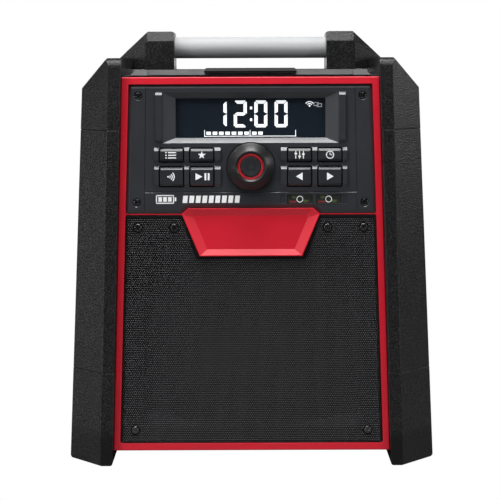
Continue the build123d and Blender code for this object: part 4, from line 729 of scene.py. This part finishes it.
# ---- floor and world: white to the camera, faint to everything else ----
FLOOR_SIZE = 60
FLOOR_GREYS = (0.20, 0.20, 0.20), (0.22, 0.22, 0.22)
BACKDROP, FILL = 1.0, 0.02  # strengths of the world as the camera sees it, and as a light


def make_floor():
    bpy.ops.mesh.primitive_plane_add(size=FLOOR_SIZE)
    floor = bpy.context.object
    floor.name = "floor"
    ground = Shader("floor_white")
    ground.colour(ground.blend(ground.noise(1.5, 2), *FLOOR_GREYS))
    ground.fixed(Roughness=0.7)
    pure = ground.add("ShaderNodeEmission")
    choose = ground.add("ShaderNodeMixShader")
    ground.link(ground.add("ShaderNodeLightPath").outputs["Is Camera Ray"], choose.inputs[0])
    ground.link(ground.bsdf.outputs[0], choose.inputs[1])
    ground.link(pure.outputs[0], choose.inputs[2])
    ground.link(choose.outputs[0], ground.tree.nodes["Material Output"].inputs["Surface"])
    floor.data.materials.append(ground.mat)


def make_world():
    world = bpy.data.worlds.new("studio")
    world.use_nodes = True
    bpy.context.scene.world = world
    tree = world.node_tree
    tree.nodes.clear()

    def background(strength):
        node = tree.nodes.new("ShaderNodeBackground")
        node.inputs["Color"].default_value = (1, 1, 1, 1)
        node.inputs["Strength"].default_value = strength
        return node.outputs[0]

    ray = tree.nodes.new("ShaderNodeLightPath")
    mix = tree.nodes.new("ShaderNodeMixShader")
    out = tree.nodes.new("ShaderNodeOutputWorld")
    tree.links.new(ray.outputs["Is Camera Ray"], mix.inputs[0])
    tree.links.new(background(FILL), mix.inputs[1])
    tree.links.new(background(BACKDROP), mix.inputs[2])
    tree.links.new(mix.outputs[0], out.inputs["Surface"])


make_floor()
make_world()


# ---- lamps: name, place, aim, width and height in metres, and watts ----
SOFTBOXES = (
    ("key_top", (0.0, -0.30, 1.5), (0, -0.12, 0.25), 0.7, 0.36, 18),
    ("high_front", (0.0, -1.2, 1.5), (0, 0, 0.25), 1.2, 0.32, 9.5),
    ("high_left", (-0.8, -0.9, 1.45), (0, 0, 0.25), 0.6, 0.5, 10),
    ("top_left", (-1.1, -0.1, 1.3), (0, 0, 0.25), 0.7, 0.9, 3),
    ("right_side", (1.5, -0.1, 0.75), (0, 0, 0.30), 0.4, 0.6, 7),
    ("left_side", (-1.5, -0.1, 0.22), (0, 0, 0.22), 0.4, 0.4, 1.5),
    ("front_left", (-1.3, -1.2, 0.40), (0, 0, 0.25), 0.3, 0.6, 6),
    ("front_right", (1.3, -1.2, 0.45), (0, 0, 0.25), 0.3, 0.8, 4),
    # behind the radio: its upper faces mirror this one at a grazing angle
    ("backdrop_glow", (0.0, 2.2, 0.52), (0, 0, 0.42), 3.0, 0.9, 13),
)


def softbox(name, place, aim, width, tall, watts):
    """A rectangular lamp that the camera doesn't see."""
    light = bpy.data.lights.new(name, "AREA")
    light.shape = "RECTANGLE"
    light.size, light.size_y = width, tall
    light.energy = watts
    made = bpy.data.objects.new(name, light)
    made.location = place
    made.rotation_euler = (Vector(aim) - Vector(place)).to_track_quat("-Z", "Y").to_euler()
    made.visible_camera = False
    bpy.context.scene.collection.objects.link(made)


for lamp in SOFTBOXES:
    softbox(*lamp)


# ---- camera ----
PICTURE_WIDTH = 500  # this and the next two in pixels
FOCAL_LENGTH = 1430
HORIZON = 185  # above the picture's middle
SENSOR_MM = 36.0
SHIFT = -0.002  # a share of the picture's width
ROLL = math.radians(-0.2)
EYE = (0, -1.4636, 0.3772)  # in metres

scene = bpy.context.scene
scene.view_settings.view_transform = "Standard"
camera = bpy.data.cameras.new("camera")
camera.sensor_width = SENSOR_MM
camera.lens = SENSOR_MM * FOCAL_LENGTH / PICTURE_WIDTH
camera.shift_x = SHIFT
eye = bpy.data.objects.new("camera", camera)
eye.location = EYE
eye.rotation_euler = (Matrix.Rotation(math.radians(90) - math.atan(HORIZON / FOCAL_LENGTH), 3, "X")
                      @ Matrix.Rotation(ROLL, 3, "Z")).to_euler()
scene.collection.objects.link(eye)
scene.camera = eye
